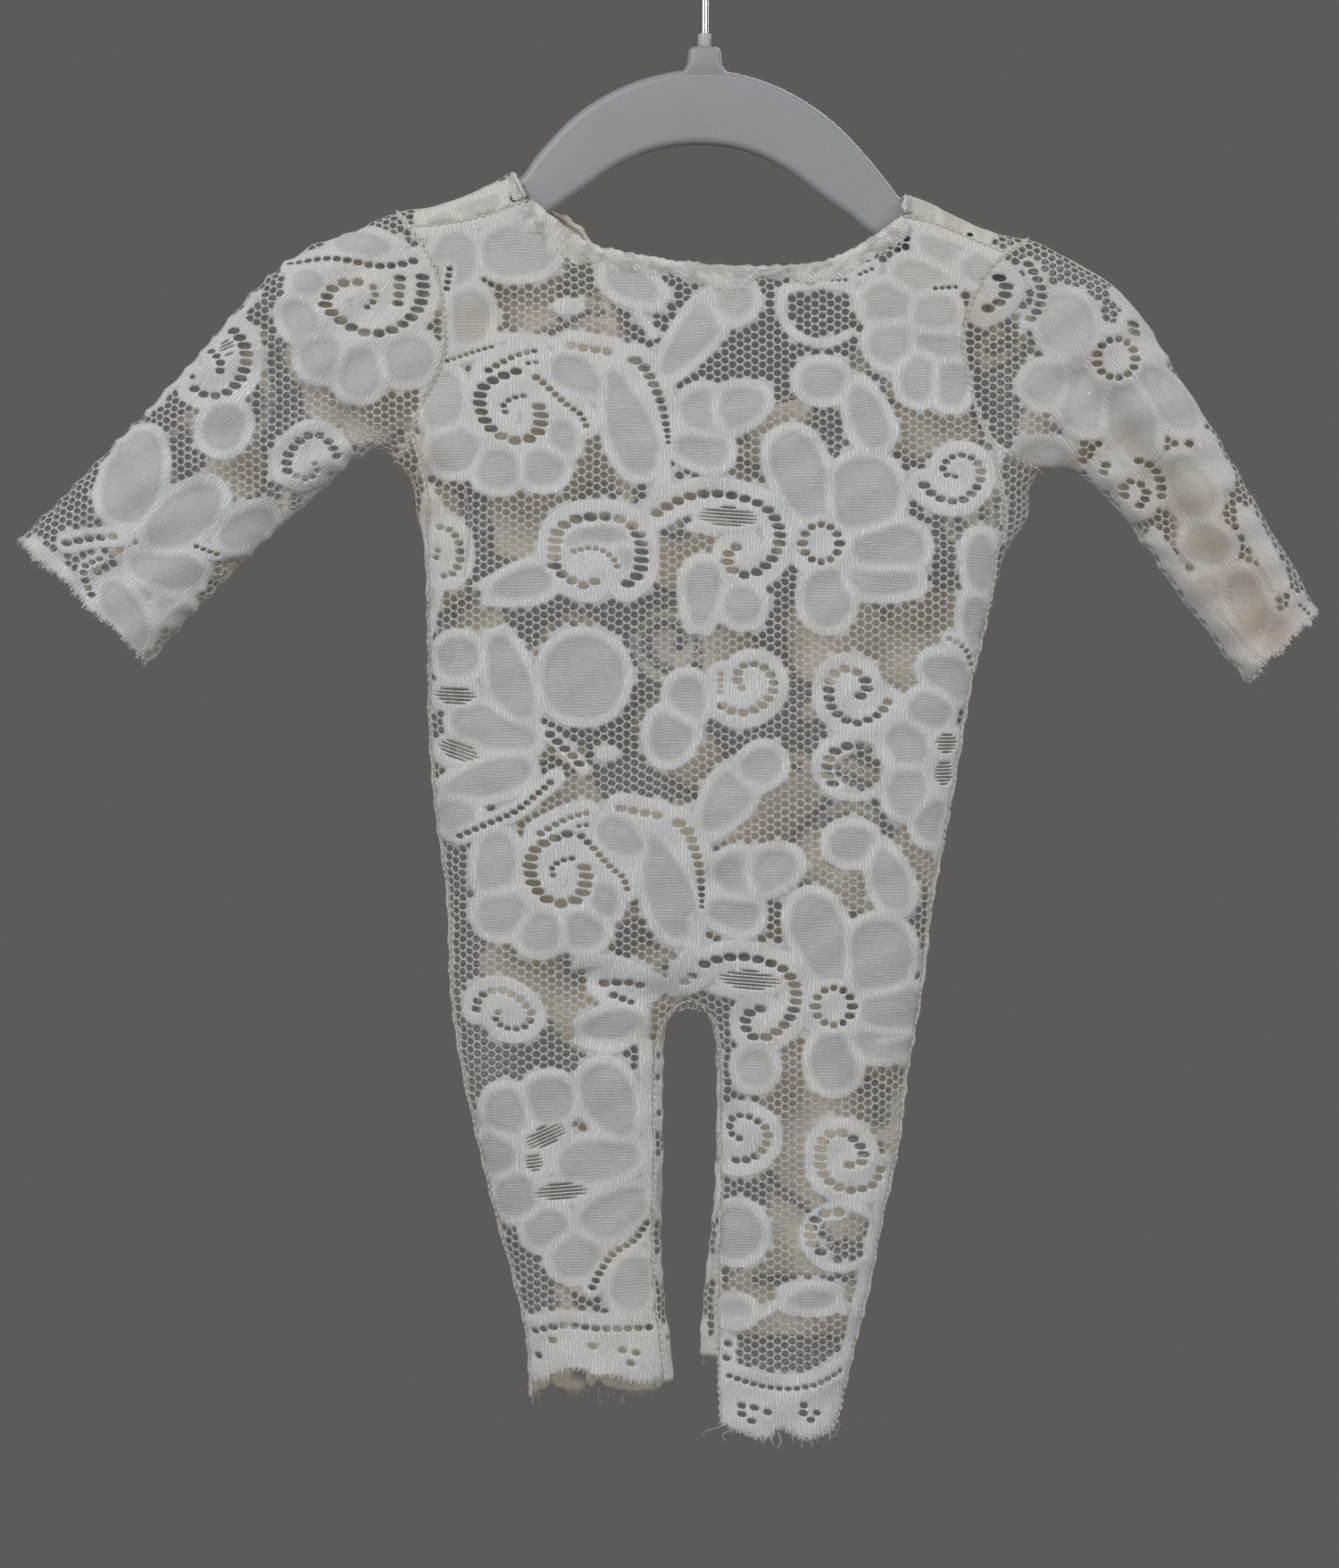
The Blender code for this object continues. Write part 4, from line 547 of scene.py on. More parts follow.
class Chart:
    """Where the flat pattern is ribbed fill, open net or satin, and where its eyelets are."""

    EDGE = 3.2          # satin round a motif
    BAND = 3.4          # satin between two fills
    CLEAR = 1.7         # satin that a fill leaves free round a row
    FAR = -9.0          # the depth away from every motif
    CELL = 0.3
    LOW = np.array([-212.0, -472.0])
    CELLS = (1360, 1330)
    SLOT, SLOT_PITCH = 0.3, 0.98

    def __init__(self, fills, rows, stems, rings, slits, windows, eyes):
        self.fills = fills
        self.eyelets = []
        lines = []

        def satin(line, wide, narrow):
            lines.append((line, np.full(len(line), wide), np.full(len(line), narrow)))

        for row in rows:
            points, first, last = row[:3]
            margin = row[3] if len(row) > 3 else self.EDGE
            line = Path.through(points).spaced(0.3)
            widths = np.linspace(first, last, len(line))
            self.row(line, widths)
            satin(line, widths / 2.0 + margin, widths / 2.0 + min(margin, self.CLEAR))
        for x, z, radius, count, width in rings:
            line = circle(x, z, radius, radius, 120)
            self.row(line, np.full(len(line), width), count)
            satin(line, width / 2.0 + self.EDGE, width / 2.0 + self.CLEAR)
            satin([(x, z)], radius, radius)
        frames = [(circle(x, z, half_width + 1.4, half_height + 1.4, 160), 2.8)
                  for x, z, half_width, half_height in windows]
        for points, width in stems + frames:
            satin(Path.through(points).spaced(0.4), width / 2.0, width / 2.0)
        for x, z, a, b, turn in slits:
            satin(between((x - 0.6 * a, z), (x + 0.6 * a, z), np.linspace(0.0, 1.0, 12)), b + 2.0, b + 1.6)
            c, s = math.cos(math.radians(turn)), math.sin(math.radians(turn))
            for away in np.arange(-b + 0.4, b, self.SLOT_PITCH):
                half = a * math.sqrt(max(0.05, 1.0 - (away / b) ** 2))
                self.eyelets.append((x - s * away, z + c * away, half, self.SLOT, turn))
        for x, z in eyes:
            self.eyelets.append((x, z, 1.3, 0.85, -12.0))
            satin([(x, z)], 3.0, 2.4)
        self.eyelets = self.apart(self.eyelets)
        self.draw(lines)

    def window(self, x, z, span):
        """The part of the sheet within a span of a place, and how far its cells lie from the place."""
        first = np.maximum(np.floor((np.array((x, z)) - span - self.LOW) / self.CELL).astype(int), 0)
        last = np.maximum(np.ceil((np.array((x, z)) + span - self.LOW) / self.CELL).astype(int), 1)
        part = (slice(first[0], last[0]), slice(first[1], last[1]))
        cells = [self.LOW[k] + self.CELL * np.arange(first[k], min(last[k], self.CELLS[k])) for k in (0, 1)]
        return part, np.stack(np.meshgrid(*cells, indexing="ij"), axis=-1)

    def draw(self, lines):
        """Draws the fills, and the satin of the rows and stems, on a fine sheet of cells."""
        first, second, satin, clear = (np.full(self.CELLS, self.FAR) for _ in range(4))
        for x, z, a, b, *way in self.fills:
            part, cells = self.window(x, z, max(a, b) + 6.0)
            depth = oval_depth(cells.reshape(-1, 2), x, z, a - 0.5, b - 0.5, *way).reshape(cells.shape[:2])
            second[part] = np.maximum(second[part], np.minimum(first[part], depth))
            first[part] = np.maximum(first[part], depth)
        for line, wide, narrow in lines:
            for (x, z), reach, less in zip(line, wide, narrow):
                part, cells = self.window(x, z, reach + 4.0)
                away = np.hypot(cells[..., 0] - x, cells[..., 1] - z)
                satin[part] = np.maximum(satin[part], reach - away)
                clear[part] = np.maximum(clear[part], less - away)
        fill = np.minimum(np.minimum(first, (first - second) * 0.5 - self.BAND * 0.5), -clear)
        self.sheet = np.stack([fill, np.minimum(-first - self.EDGE, -satin)], axis=-1)

    def row(self, line, widths, count=None):
        """Eyelets along a line: ovals side by side where it runs level, wide slots where it runs up."""
        lengths = np.concatenate([[0.0], np.cumsum(np.linalg.norm(np.diff(line, axis=0), axis=1))])
        total = lengths[-1]

        def placed(here):
            x, z = (np.interp(here, lengths, line[:, k]) for k in (0, 1))
            ahead, behind = ([np.interp(here + move, lengths, line[:, k]) for k in (0, 1)] for move in (0.5, -0.5))
            level = abs(ahead[0] - behind[0]) / max(math.hypot(ahead[0] - behind[0], ahead[1] - behind[1]), 1e-6)
            width = np.interp(here, lengths, widths)
            half_width = width * (0.57 - 0.07 * level**2)
            half_height = min(0.92, 0.41 * width) * (1.0 - level**2) + 0.32 * width * level**2
            return x, z, half_width, half_height, level

        if count:
            for here in np.arange(count) * total / count:
                x, z, a, b, level = placed(here)
                self.eyelets.append((x, z, min(a, 1.02 + 0.7 * (1.0 - level)), b * 0.94, 0.0))
            return
        here, laid = 0.0, []
        while here <= total:
            x, z, a, b, level = placed(here)
            eyelet = (x, z, a, b, -8.0 + 4.0 * level)
            if all(self.gap(eyelet, other) > 0.45 for other in laid[-3:]):
                laid.append(eyelet)
                here += 1.6 * (b + (a - b) * level**2)
            else:
                here += 0.1
        self.eyelets += laid

    @staticmethod
    def gap(first, second):
        """About how far two eyelets are apart."""
        across, up = second[0] - first[0], second[1] - first[1]
        reach = 0.0
        for _, _, a, b, turn in (first, second):
            angle = math.atan2(up, across) - math.radians(turn)
            reach += 1.0 / math.hypot(math.cos(angle) / a, math.sin(angle) / b)
        return math.hypot(across, up) - reach

    def apart(self, eyelets):
        """Leaves out an eyelet that would run into one before it."""
        kept = []
        for eyelet in eyelets:
            near = [other for other in kept if abs(other[0] - eyelet[0]) < 9.0 and abs(other[1] - eyelet[1]) < 5.0]
            if all(self.gap(eyelet, other) > 0.36 for other in near):
                kept.append(eyelet)
        return kept

    def fields(self, flat):
        """How deep places lie in a fill and in the net."""
        cell = (flat - self.LOW) / self.CELL
        corner = np.clip(np.floor(cell).astype(int), 0, np.array(self.CELLS) - 2)
        u, v = np.clip((cell - corner).T[..., None], 0.0, 1.0)
        x, z = corner.T
        sheet = self.sheet
        both = ((sheet[x, z] * (1 - u) + sheet[x + 1, z] * u) * (1 - v)
                + (sheet[x, z + 1] * (1 - u) + sheet[x + 1, z + 1] * u) * v)
        return both[:, 0], both[:, 1]


# ---------------------------------------------------------------------------------------------
# Cutting the lace and wrapping it on the form.

def counter_clockwise(loop):
    x, z = loop[:, 0], loop[:, 1]
    return (x * np.roll(z, -1) - np.roll(x, -1) * z).sum() > 0.0


def within(flat, loop):
    """Which places lie inside a closed outline."""
    order = np.argsort(flat[:, 1])
    x, z = flat[order, 0], flat[order, 1]
    crossed = np.zeros(len(flat), bool)
    for (x0, z0), (x1, z1) in zip(loop, np.roll(loop, -1, axis=0)):
        first, last = np.searchsorted(z, (min(z0, z1), max(z0, z1)))
        if last > first:
            reach = slice(first, last)
            crossed[reach] ^= x[reach] < (x1 - x0) * (z[reach] - z0) / (z1 - z0) + x0
    inside = np.empty(len(flat), bool)
    inside[order] = crossed
    return inside


def clipped(places, loop):
    return places[within(places, loop)]


def near_tree(places):
    tree = kdtree.KDTree(max(1, len(places)))
    for number, (x, z) in enumerate(places):
        tree.insert((x, z, 0.0), number)
    tree.balance()
    return tree


def tree_distance(tree, places):
    return np.array([tree.find((x, z, 0.0))[2] for x, z in places])


def honeycomb(low, high, across, up, seed=0, jitter=0.0):
    """Places in staggered rows over a rectangle."""
    rows = np.arange(low[1], high[1] + up, up)
    columns = np.arange(low[0], high[0] + across, across)
    x, z = np.meshgrid(columns, rows)
    x = x + (np.round(z / up).astype(int) % 2) * across / 2.0
    places = np.stack([x.ravel(), z.ravel()], axis=1)
    if jitter:
        places += np.random.default_rng(seed).normal(0.0, jitter, places.shape)
    return places


def net_places(low, high, across, up):
    """Middles of the net's meshes: level columns, with each next column half a mesh lower."""
    return honeycomb(low[::-1], high[::-1], up, across)[:, ::-1]


class Lace:
    """One cloth piece: its cut outlines wrapped on the form as one closed wall."""

    HOLE_SIDES = 8
    EYE_SIDES = 12
    RIM = 0.5           # least cloth between a hole and an edge
    NET_ACROSS = 2.15
    NET_UP = 2.34
    HOLE = (1.42, 1.16)     # half width and half height of a mesh of the net
    STRAND = 0.155      # half the least thread between two meshes of the net
    NET_DEPTH = 0.12    # how far inside the net a mesh's corners stay
    OUTER, CROWN, NET_CROWN = 0.14, 0.17, 0.06      # lift of the outer sheet, and more on satin and net
    RIM_LIFT, INNER = 0.10, 0.20

    def __init__(self, form, chart, seed, step=0.95):
        self.form = form
        self.chart = chart
        self.seed = seed
        self.step = step
        self.points, self.faces, self.flat = [], [], []
        self.fields = []
        self.fold_numbers = {}
        self.count = 0
        self.cut_area = 0.0

    def cut_holes(self, loop, edge_tree):
        """Holes of the net and eyelets, each clear of the edges and of its neighbours."""
        low, high = loop.min(axis=0), loop.max(axis=0)
        rng = np.random.default_rng(self.seed + 7)
        centres = clipped(net_places(low, high, self.NET_ACROSS, self.NET_UP), loop)
        net = self.chart.fields(centres)[1]
        centres = centres[net > 0.1]
        centres = centres + rng.normal(0.0, 0.08, centres.shape)
        net = np.minimum(self.chart.fields(centres)[1], tree_distance(edge_tree, centres) - self.RIM)
        centres, net = centres[net > 0.25], net[net > 0.25]
        turn = np.radians(rng.normal(-13.0, 11.0, len(centres)))[:, None]
        size = rng.normal(1.0, 0.07, len(centres))[:, None]
        angles = np.arange(self.HOLE_SIDES) * 2.0 * math.pi / self.HOLE_SIDES + 0.2
        a = self.HOLE[0] * size * np.cos(angles)
        b = self.HOLE[1] * size * np.sin(angles)
        reach = np.stack([a * np.cos(turn) - b * np.sin(turn), a * np.sin(turn) + b * np.cos(turn)], axis=-1)
        spots = (centres[:, None, :] + reach).reshape(-1, 2)
        ends = tree_distance(edge_tree, spots) * np.where(within(spots, loop), 1.0, -1.0)
        there = np.minimum(self.chart.fields(spots)[1], ends - self.RIM).reshape(-1, self.HOLE_SIDES)
        least, net = self.NET_DEPTH, net[:, None]
        pull = np.where(there < least, (net - least) / np.maximum(net - there, 1e-3), 1.0)
        reach *= (np.clip(pull, 0.0, 1.0) * self.room(centres, reach))[..., None]
        radius = np.linalg.norm(reach, axis=2)
        good = (radius.min(axis=1) > 0.2) & (radius.mean(axis=1) > 0.38)
        kept = list((centres[:, None, :] + reach)[good])
        angles = np.arange(self.EYE_SIDES) * 2.0 * math.pi / self.EYE_SIDES + 0.26
        for x, z, a, b, turn in self.chart.eyelets:
            spot = np.array([[x, z]])
            if within(spot, loop)[0]:
                outline = oval(angles, a * rng.normal(1.0, 0.04), b * rng.normal(1.0, 0.04), turn) + spot
                ends = tree_distance(edge_tree, outline)
                if within(outline, loop).all() and ends.min() > self.RIM * 0.8:
                    kept.append(outline)
        return self.separate(kept)

    @staticmethod
    def separate(holes):
        """The holes without those that would touch a later one."""
        dense = [Path(np.vstack([hole, hole[:1]])).spaced(0.25) for hole in holes]
        owners = np.repeat(np.arange(len(dense)), [len(line) for line in dense])
        tree = near_tree(np.vstack(dense)) if dense else None
        kept = []
        for number, line in enumerate(dense):
            near = (found[1] for x, z in line for found in tree.find_range((x, z, 0.0), 0.17))
            if not any(owners[other] > number for other in near):
                kept.append(holes[number])
        return kept

    def room(self, centres, reach):
        """How much of each corner's reach stays on its own side between neighbouring meshes."""
        tree = near_tree(centres)
        share = np.ones(reach.shape[:2])
        for number, (x, z) in enumerate(centres):
            for _, other, distance in tree.find_n((x, z, 0.0), 9):
                if other != number and 0.0 < distance < 3.6:
                    toward = (centres[other] - centres[number]) / distance
                    along = np.maximum(reach[number] @ toward, 1e-6)
                    share[number] = np.minimum(share[number], (distance / 2.0 - self.STRAND) / along)
        return np.clip(share, 0.0, 1.0)

    def inner_places(self, loop, edge_tree, holes, step, dense):
        """Places between the holes: close together on satin, wide apart on fills."""
        low, high = loop.min(axis=0), loop.max(axis=0)
        groups = []
        if dense:
            fine = clipped(honeycomb(low, high, step, step * 0.866, self.seed + 1, step * 0.08), loop)
            fill, net = self.chart.fields(fine)
            band = -np.maximum(fill, net)
            chosen = band > -0.35
            fine, band = fine[chosen], band[chosen]
            near = np.abs(band) < 0.42
            spots = fine[near]
            if len(spots):
                reach = 0.05
                slope = np.zeros_like(spots)
                for k in (0, 1):
                    shift = np.zeros(2)
                    shift[k] = reach
                    up = self.chart.fields(spots + shift)
                    down = self.chart.fields(spots - shift)
                    slope[:, k] = (np.maximum(*down) - np.maximum(*up)) / (2.0 * reach)
                size = np.maximum((slope**2).sum(axis=1, keepdims=True), 0.25)
                fine[near] = spots - band[near][:, None] * slope / size
            groups.append(fine)
            coarse = clipped(honeycomb(low, high, 2.3, 2.0, self.seed + 2, 0.15), loop)
            fill, _ = self.chart.fields(coarse)
            groups.append(coarse[fill > 0.9])
            knots = net_places(low, high, self.NET_ACROSS, self.NET_UP)
            beside = (self.NET_ACROSS * 0.64, 0.0)
            knots = clipped(np.vstack([knots + beside, knots - beside]), loop)
            _, net = self.chart.fields(knots)
            groups.append(knots[net > 0.1])
        else:
            groups.append(clipped(honeycomb(low, high, 3.4, 3.0, self.seed + 3, 0.2), loop))
        places = np.vstack(groups)
        clear = tree_distance(edge_tree, places)
        places = places[clear > 0.45]
        if holes:
            rim = near_tree(np.vstack(holes))
            centre = near_tree(np.array([hole.mean(axis=0) for hole in holes]))
            places = places[(tree_distance(rim, places) > (0.26 if dense else 0.5))
                            & (tree_distance(centre, places) > 0.55)]
        grid = np.round(places / (step * 0.55 if dense else 1.5)).astype(int)
        _, first = np.unique(grid, axis=0, return_index=True)
        return places[np.sort(first)]

    @staticmethod
    def triangles(loop, holes, places):
        """Triangles over an outline without its holes, by the numbers of their corners."""
        parts = [loop] + holes
        starts = np.concatenate([[0], np.cumsum([len(part) for part in parts])])
        outlines = [list(range(start, start + len(part))) for part, start in zip(parts, starts)]
        every = np.vstack(parts + [places])
        verts, _, faces, origins, _, owners = delaunay_2d_cdt(
            [Vector(p) for p in every], [], outlines, 1, 1e-5, True)
        numbers = np.full(len(verts), -1)
        extra = []
        for k, origin in enumerate(origins):
            if origin:
                numbers[k] = origin[0]
            else:
                numbers[k] = len(every) + len(extra)
                extra.append(tuple(verts[k]))
        kept = [face for face, owner in zip(faces, owners) if owner and max(owner) == 0]
        return numbers[np.array(kept)], np.array(extra).reshape(-1, 2)

    def add(self, stretches, side):
        """One outline, as stretches of front-view points, each marked where it lies on a fold."""
        spots, on_fold = [], []
        for line, folded in stretches:
            spots.append(np.asarray(line, float)[:-1])
            on_fold += [folded] * (len(line) - 1)
        spots, on_fold = np.vstack(spots), np.array(on_fold)
        sharp = on_fold | np.roll(on_fold, 1)
        if not counter_clockwise(spots):
            spots, sharp = spots[::-1], sharp[::-1]
        loop = self.form.flatten(spots)
        x, z = loop[:, 0], loop[:, 1]
        self.cut_area += 0.5 * abs((x * np.roll(z, -1) - np.roll(x, -1) * z).sum())
        edge_tree = near_tree(Path(np.vstack([loop, loop[:1]])).spaced(0.3))
        holes = self.cut_holes(loop, edge_tree)
        shared = np.vstack([loop] + holes)
        sheets = []
        for outward in (1.0, -1.0):
            places = self.inner_places(loop, edge_tree, holes, self.step, outward > 0)
            faces, extra = self.triangles(loop, holes, places)
            flat = np.vstack([shared, places, extra])
            where = self.form.fold_up(flat)
            where[:len(spots)] = spots
            middle, normal = self.form.wall(where, side)
            fill, net = self.chart.fields(flat)
            band = np.maximum(-np.maximum(fill, net), 0.0)
            crown = self.CROWN * np.sqrt(np.minimum(1.0, band / 0.8))
            crown = np.where(net > 0.0, self.NET_CROWN, crown)
            rim = np.arange(len(flat)) < len(shared)
            if outward > 0:
                lift = np.where(rim, self.RIM_LIFT + 0.45 * crown, self.OUTER + crown)
            else:
                lift = np.where(rim, -self.RIM_LIFT, -self.INNER)
            inside = np.where(rim, 0.5, 0.0 if outward > 0 else 1.0)
            sheets.append((middle + normal * lift[:, None], faces, flat,
                           np.stack([fill, net, inside, stains_and_shade_at(where)], axis=1)))
        numbers = []
        for points, faces, flat, fields in sheets:
            number = np.arange(self.count, self.count + len(points))
            tag = len(numbers)
            for k in np.nonzero(sharp)[0]:
                key = (tag, round(float(spots[k, 0]), 2), round(float(spots[k, 1]), 2))
                number[k] = self.fold_numbers.setdefault(key, number[k])
            self.count += len(points)
            self.points.append(points)
            self.flat.append(flat)
            self.fields.append(np.clip(fields, -4.0, 4.0))
            turned = faces if (tag == 0) == (side == FRONT) else faces[:, ::-1]
            self.faces += [tuple(face) for face in number[turned]]
            numbers.append(number)
        outer, inner = numbers
        start = 0
        for part, cloth_left in [(loop, True)] + [(hole, False) for hole in holes]:
            if not cloth_left and not counter_clockwise(part):
                cloth_left = True
            for k in range(len(part)):
                a, b = start + k, start + (k + 1) % len(part)
                if start == 0 and sharp[a] and sharp[b]:
                    continue
                quad = (outer[b], outer[a], inner[a], inner[b])
                if not cloth_left:
                    quad = quad[::-1]
                self.faces.append(quad if side == FRONT else quad[::-1])
            start += len(part)

    def mesh(self, name):
        points, flat, fields = np.vstack(self.points), np.vstack(self.flat), np.vstack(self.fields)
        faces = [face for face in self.faces if len(set(face)) == len(face)]
        used = np.unique(np.concatenate([np.array(face) for face in faces]))
        number = np.full(len(points), -1)
        number[used] = np.arange(len(used))
        faces = [tuple(number[list(face)]) for face in faces]
        thing = mesh_object(name, points[used], faces)
        lay_flat(thing.data, flat[used])
        for title, values in zip(("fill", "net", "inside", "stain"), fields[used].T):
            attribute = thing.data.attributes.new(title, "FLOAT", "POINT")
            attribute.data.foreach_set("value", values.astype(np.float32))
        return thing


def lay_flat(mesh, flat):
    """Maps a mesh by where its points lie on the flat pattern."""
    corners = np.empty(len(mesh.loops), int)
    mesh.loops.foreach_get("vertex_index", corners)
    layer = mesh.uv_layers.new(name="cloth")
    layer.data.foreach_set("uv", (flat[corners] / PATTERN_UNIT).astype(np.float32).ravel())


def linked(name, data):
    """A new object in the scene."""
    thing = bpy.data.objects.new(name, data)
    bpy.context.scene.collection.objects.link(thing)
    return thing


def mesh_object(name, points, faces, smooth=True):
    """A mesh object in metres from points in millimetres."""
    mesh = bpy.data.meshes.new(name)
    mesh.from_pydata([tuple(point) for point in np.asarray(points, float) * MM], [], faces)
    mesh.validate()
    mesh.update()
    if smooth:
        mesh.shade_smooth()
    return linked(name, mesh)


# Yellowed and browned places: x, z, reach and amount. The run from (118, -172) to (164, -229)
# lies down the right sleeve's trough and is painted shade in that fold, not a stain.
STAINS_AND_SHADE = [
    (-86, -181, 9, 0.45), (-80, -192, 6, 0.3), (-66, -140, 7, 0.18), (97, -184, 8, 0.5), (128, -184, 10, 0.3),
    (137, -195, 12, 0.3), (145, -205, 13, 0.3), (152, -214, 13, 0.3), (157, -223, 12, 0.3), (164, -229, 9, 0.25),
    (118, -172, 8, 0.2), (78, -136, 6, 0.4), (-13, -344, 6, 0.35), (-12.5, -395, 6, 0.3), (-43, -443, 5, 0.25),
    (-151, -222, 6, 0.3), (0, -414, 6, 0.25), (-34, -100, 10, 0.2), (44, -350, 8, 0.2)]


def stains_and_shade_at(spots):
    """How far places of the front view are stained, and how much painted shade lies down the right sleeve's trough.
    """
    total = np.zeros(len(spots))
    for x, z, reach, amount in STAINS_AND_SHADE:
        total += amount * np.exp(-((spots[:, 0] - x) ** 2 + (spots[:, 1] - z) ** 2) / reach**2)
    return np.minimum(total, 0.9)


def wrapped(points, table, sign):
    """A fold's points moved sideways by the widths in a table of heights and widths."""
    heights, widths = zip(*table)
    reach = np.interp(-points[:, 1], [-height for height in heights], widths)
    return points + np.stack([sign * reach, np.zeros(len(points))], axis=1)


class Half:
    """The lines of one half of the garment."""

    HEM_SCALE = 40.0    # length that a hem's table is drawn at

    def __init__(self, name, top, under, armhole, shoulder, inseam):
        self.name = name
        self.sign = -1.0 if name == "left" else 1.0
        self.top = Path.through(top)
        self.under = Path.through(under)
        self.fold_shoulder = self.top.rows(0, 4)
        self.sleeve_top = self.top.rows(4, len(top) - 1)
        self.sleeve_under = self.under.rows(0, 7)
        self.side = self.under.rows(7, len(under) - 1)
        self.armhole = Path.through(armhole)
        self.front_armhole = self.armhole.rows(1, len(armhole) - 2)
        self.shoulder_seam = Path.through(shoulder)
        self.inseam = inseam

    def hem_height(self, side, end):
        return HEMS[(self.name, side)][0 if end == "outer" else -1][1]

    def side_fold(self, side):
        return self.side.down_to(self.hem_height(side, "outer"))

    def side_seam(self, side, start=True):
        fold = self.side_fold(side)
        seam = wrapped(fold[fold[:, 1] < -187.0], SIDE_WRAP[self.name], -self.sign)
        return np.vstack([self.front_armhole.points[-1:], seam]) if start else seam

    def inseam_fold(self, side):
        return self.inseam.down_to(self.hem_height(side, "inner"))

    def inseam_seam(self, side):
        return wrapped(self.inseam_fold(side), INSEAM_WRAP[self.name], self.sign)

    def hem(self, side, outer, inner):
        """The hem's line from the outer side of the leg to its inner side."""
        shares, heights = zip(*HEMS[(self.name, side)])
        line = Path.through(list(zip(np.array(shares) * self.HEM_SCALE, heights)))
        fine = line.spaced(0.7)
        rng = np.random.default_rng(len(self.name) + side)
        x = outer[0] + (inner[0] - outer[0]) * fine[:, 0] / self.HEM_SCALE
        ragged = rng.normal(0.0, 0.18, len(fine))
        ragged[[0, -1]] = 0.0
        return np.stack([x, fine[:, 1] + ragged], axis=1)


def crotch_fold():
    return Path.through(CROTCH).rows(7, 9).spaced(0.8)


def crotch_seam():
    path = Path.through(CROTCH).rows(7, 9)
    shares = np.linspace(0.0, 1.0, 9)
    tangents = path.tangents(shares, 0.05)
    return path.at(shares) + CROTCH_WRAP * np.stack([-tangents[:, 1], tangents[:, 0]], axis=1)


def front_outline(left, right):
    top = [left.shoulder_seam.spaced(1.0)[::-1], Path.through(NECK_FRONT).spaced(1.0),
           right.shoulder_seam.spaced(1.0), right.front_armhole.spaced(1.0)]
    right_side, right_in = right.side_seam(FRONT), right.inseam_seam(FRONT)
    left_side, left_in = left.side_seam(FRONT), left.inseam_seam(FRONT)
    bottom = [right_side, right.hem(FRONT, right_side[-1], right_in[-1]), right_in[::-1],
              np.vstack([right_in[:1], crotch_seam()[::-1], left_in[:1]]),
              left_in, left.hem(FRONT, left_side[-1], left_in[-1])[::-1], left_side[::-1],
              left.front_armhole.spaced(1.0)[::-1]]
    return [(line, False) for line in top + bottom]


def back_outline(left, right):
    neck = Path.through(NECK_BACK).spaced(1.0)
    folds = {half.name: (half.side_fold(BACK), half.inseam_fold(BACK)) for half in (left, right)}
    return [
        (neck, False), (right.fold_shoulder.spaced(0.8), True), (right.armhole.spaced(1.0), False),
        (folds["right"][0], True), (right.hem(BACK, folds["right"][0][-1], folds["right"][1][-1]), False),
        (folds["right"][1][::-1], True), (crotch_fold()[::-1], True), (folds["left"][1], True),
        (left.hem(BACK, folds["left"][0][-1], folds["left"][1][-1])[::-1], False),
        (folds["left"][0][::-1], True), (left.armhole.spaced(1.0)[::-1], False),
        (left.fold_shoulder.spaced(0.8)[::-1], True)]


def joined(*lines):
    """One line from several, without their doubled points."""
    points = [lines[0]]
    for line in lines[1:]:
        points.append(line[1:] if np.linalg.norm(line[0] - points[-1][-1]) < 0.05 else line)
    return np.vstack(points)


def straight(first, last, step=0.8):
    return between(first, last, np.linspace(0.0, 1.0, max(2, int(np.linalg.norm(last - first) / step) + 1)))


def back_flaps(left, right):
    """What the back wraps round to the front: over the shoulders, at the sides and inside the legs."""
    outlines = []
    for half in (left, right):
        for fold, seam, step in ((half.fold_shoulder.spaced(0.8), half.shoulder_seam.spaced(1.0), 0.8),
                                 (half.side_fold(BACK), half.side_seam(BACK), 0.3)):
            outlines.append([(fold, True), (straight(fold[-1], seam[-1], step), False), (seam[::-1], False),
                             (straight(seam[0], fold[0]), False)])
    lf, rf = left.inseam_fold(BACK), right.inseam_fold(BACK)
    ls, rs = left.inseam_seam(BACK), right.inseam_seam(BACK)
    outlines.append([
        (lf[::-1], True), (crotch_fold(), True), (rf, True), (straight(rf[-1], rs[-1], 0.5), False),
        (joined(rs[::-1], crotch_seam()[::-1], ls), False), (straight(ls[-1], lf[-1], 0.5), False)])
    return outlines


def sleeve_outline(half, side):
    top, under = half.sleeve_top.spaced(0.8), half.sleeve_under.spaced(0.8)
    rng = np.random.default_rng(31 if half.name == "left" else 32)
    cuff = straight(top[-1], under[0])
    way = unit(under[0] - top[-1])
    out = np.array([way[1], -way[0]]) * half.sign * -1.0
    shares = np.linspace(0.0, math.pi, len(cuff))
    wave = np.sin(np.linspace(0.0, math.pi * 5.0, len(cuff)) + side) * 0.5
    ragged = (rng.normal(0.0, 0.3, len(cuff)) + wave - 0.4) * np.minimum(1.0, np.sin(shares) * 4.0)
    cuff = cuff + out * ragged[:, None]
    return [(top, True), (cuff, False), (under, True), (half.armhole.spaced(1.0)[::-1], False)]


# ---------------------------------------------------------------------------------------------
# Materials.

def put(tree, socket, value):
    """Links a socket to a value that changes, or gives it one that doesn't."""
    if isinstance(value, Sum):
        value = value.socket
    if isinstance(value, bpy.types.NodeSocket):
        tree.links.new(value, socket)
    elif isinstance(value, tuple) and len(value) == 3 and len(socket.default_value) == 4:
        socket.default_value = (*value, 1.0)
    else:
        socket.default_value = value


def add_node(tree, kind, settings=None, inputs=None):
    node = tree.nodes.new(kind)
    for key, value in (settings or {}).items():
        setattr(node, key, value)
    for key, value in (inputs or {}).items():
        put(tree, node.inputs[key], value)
    return node


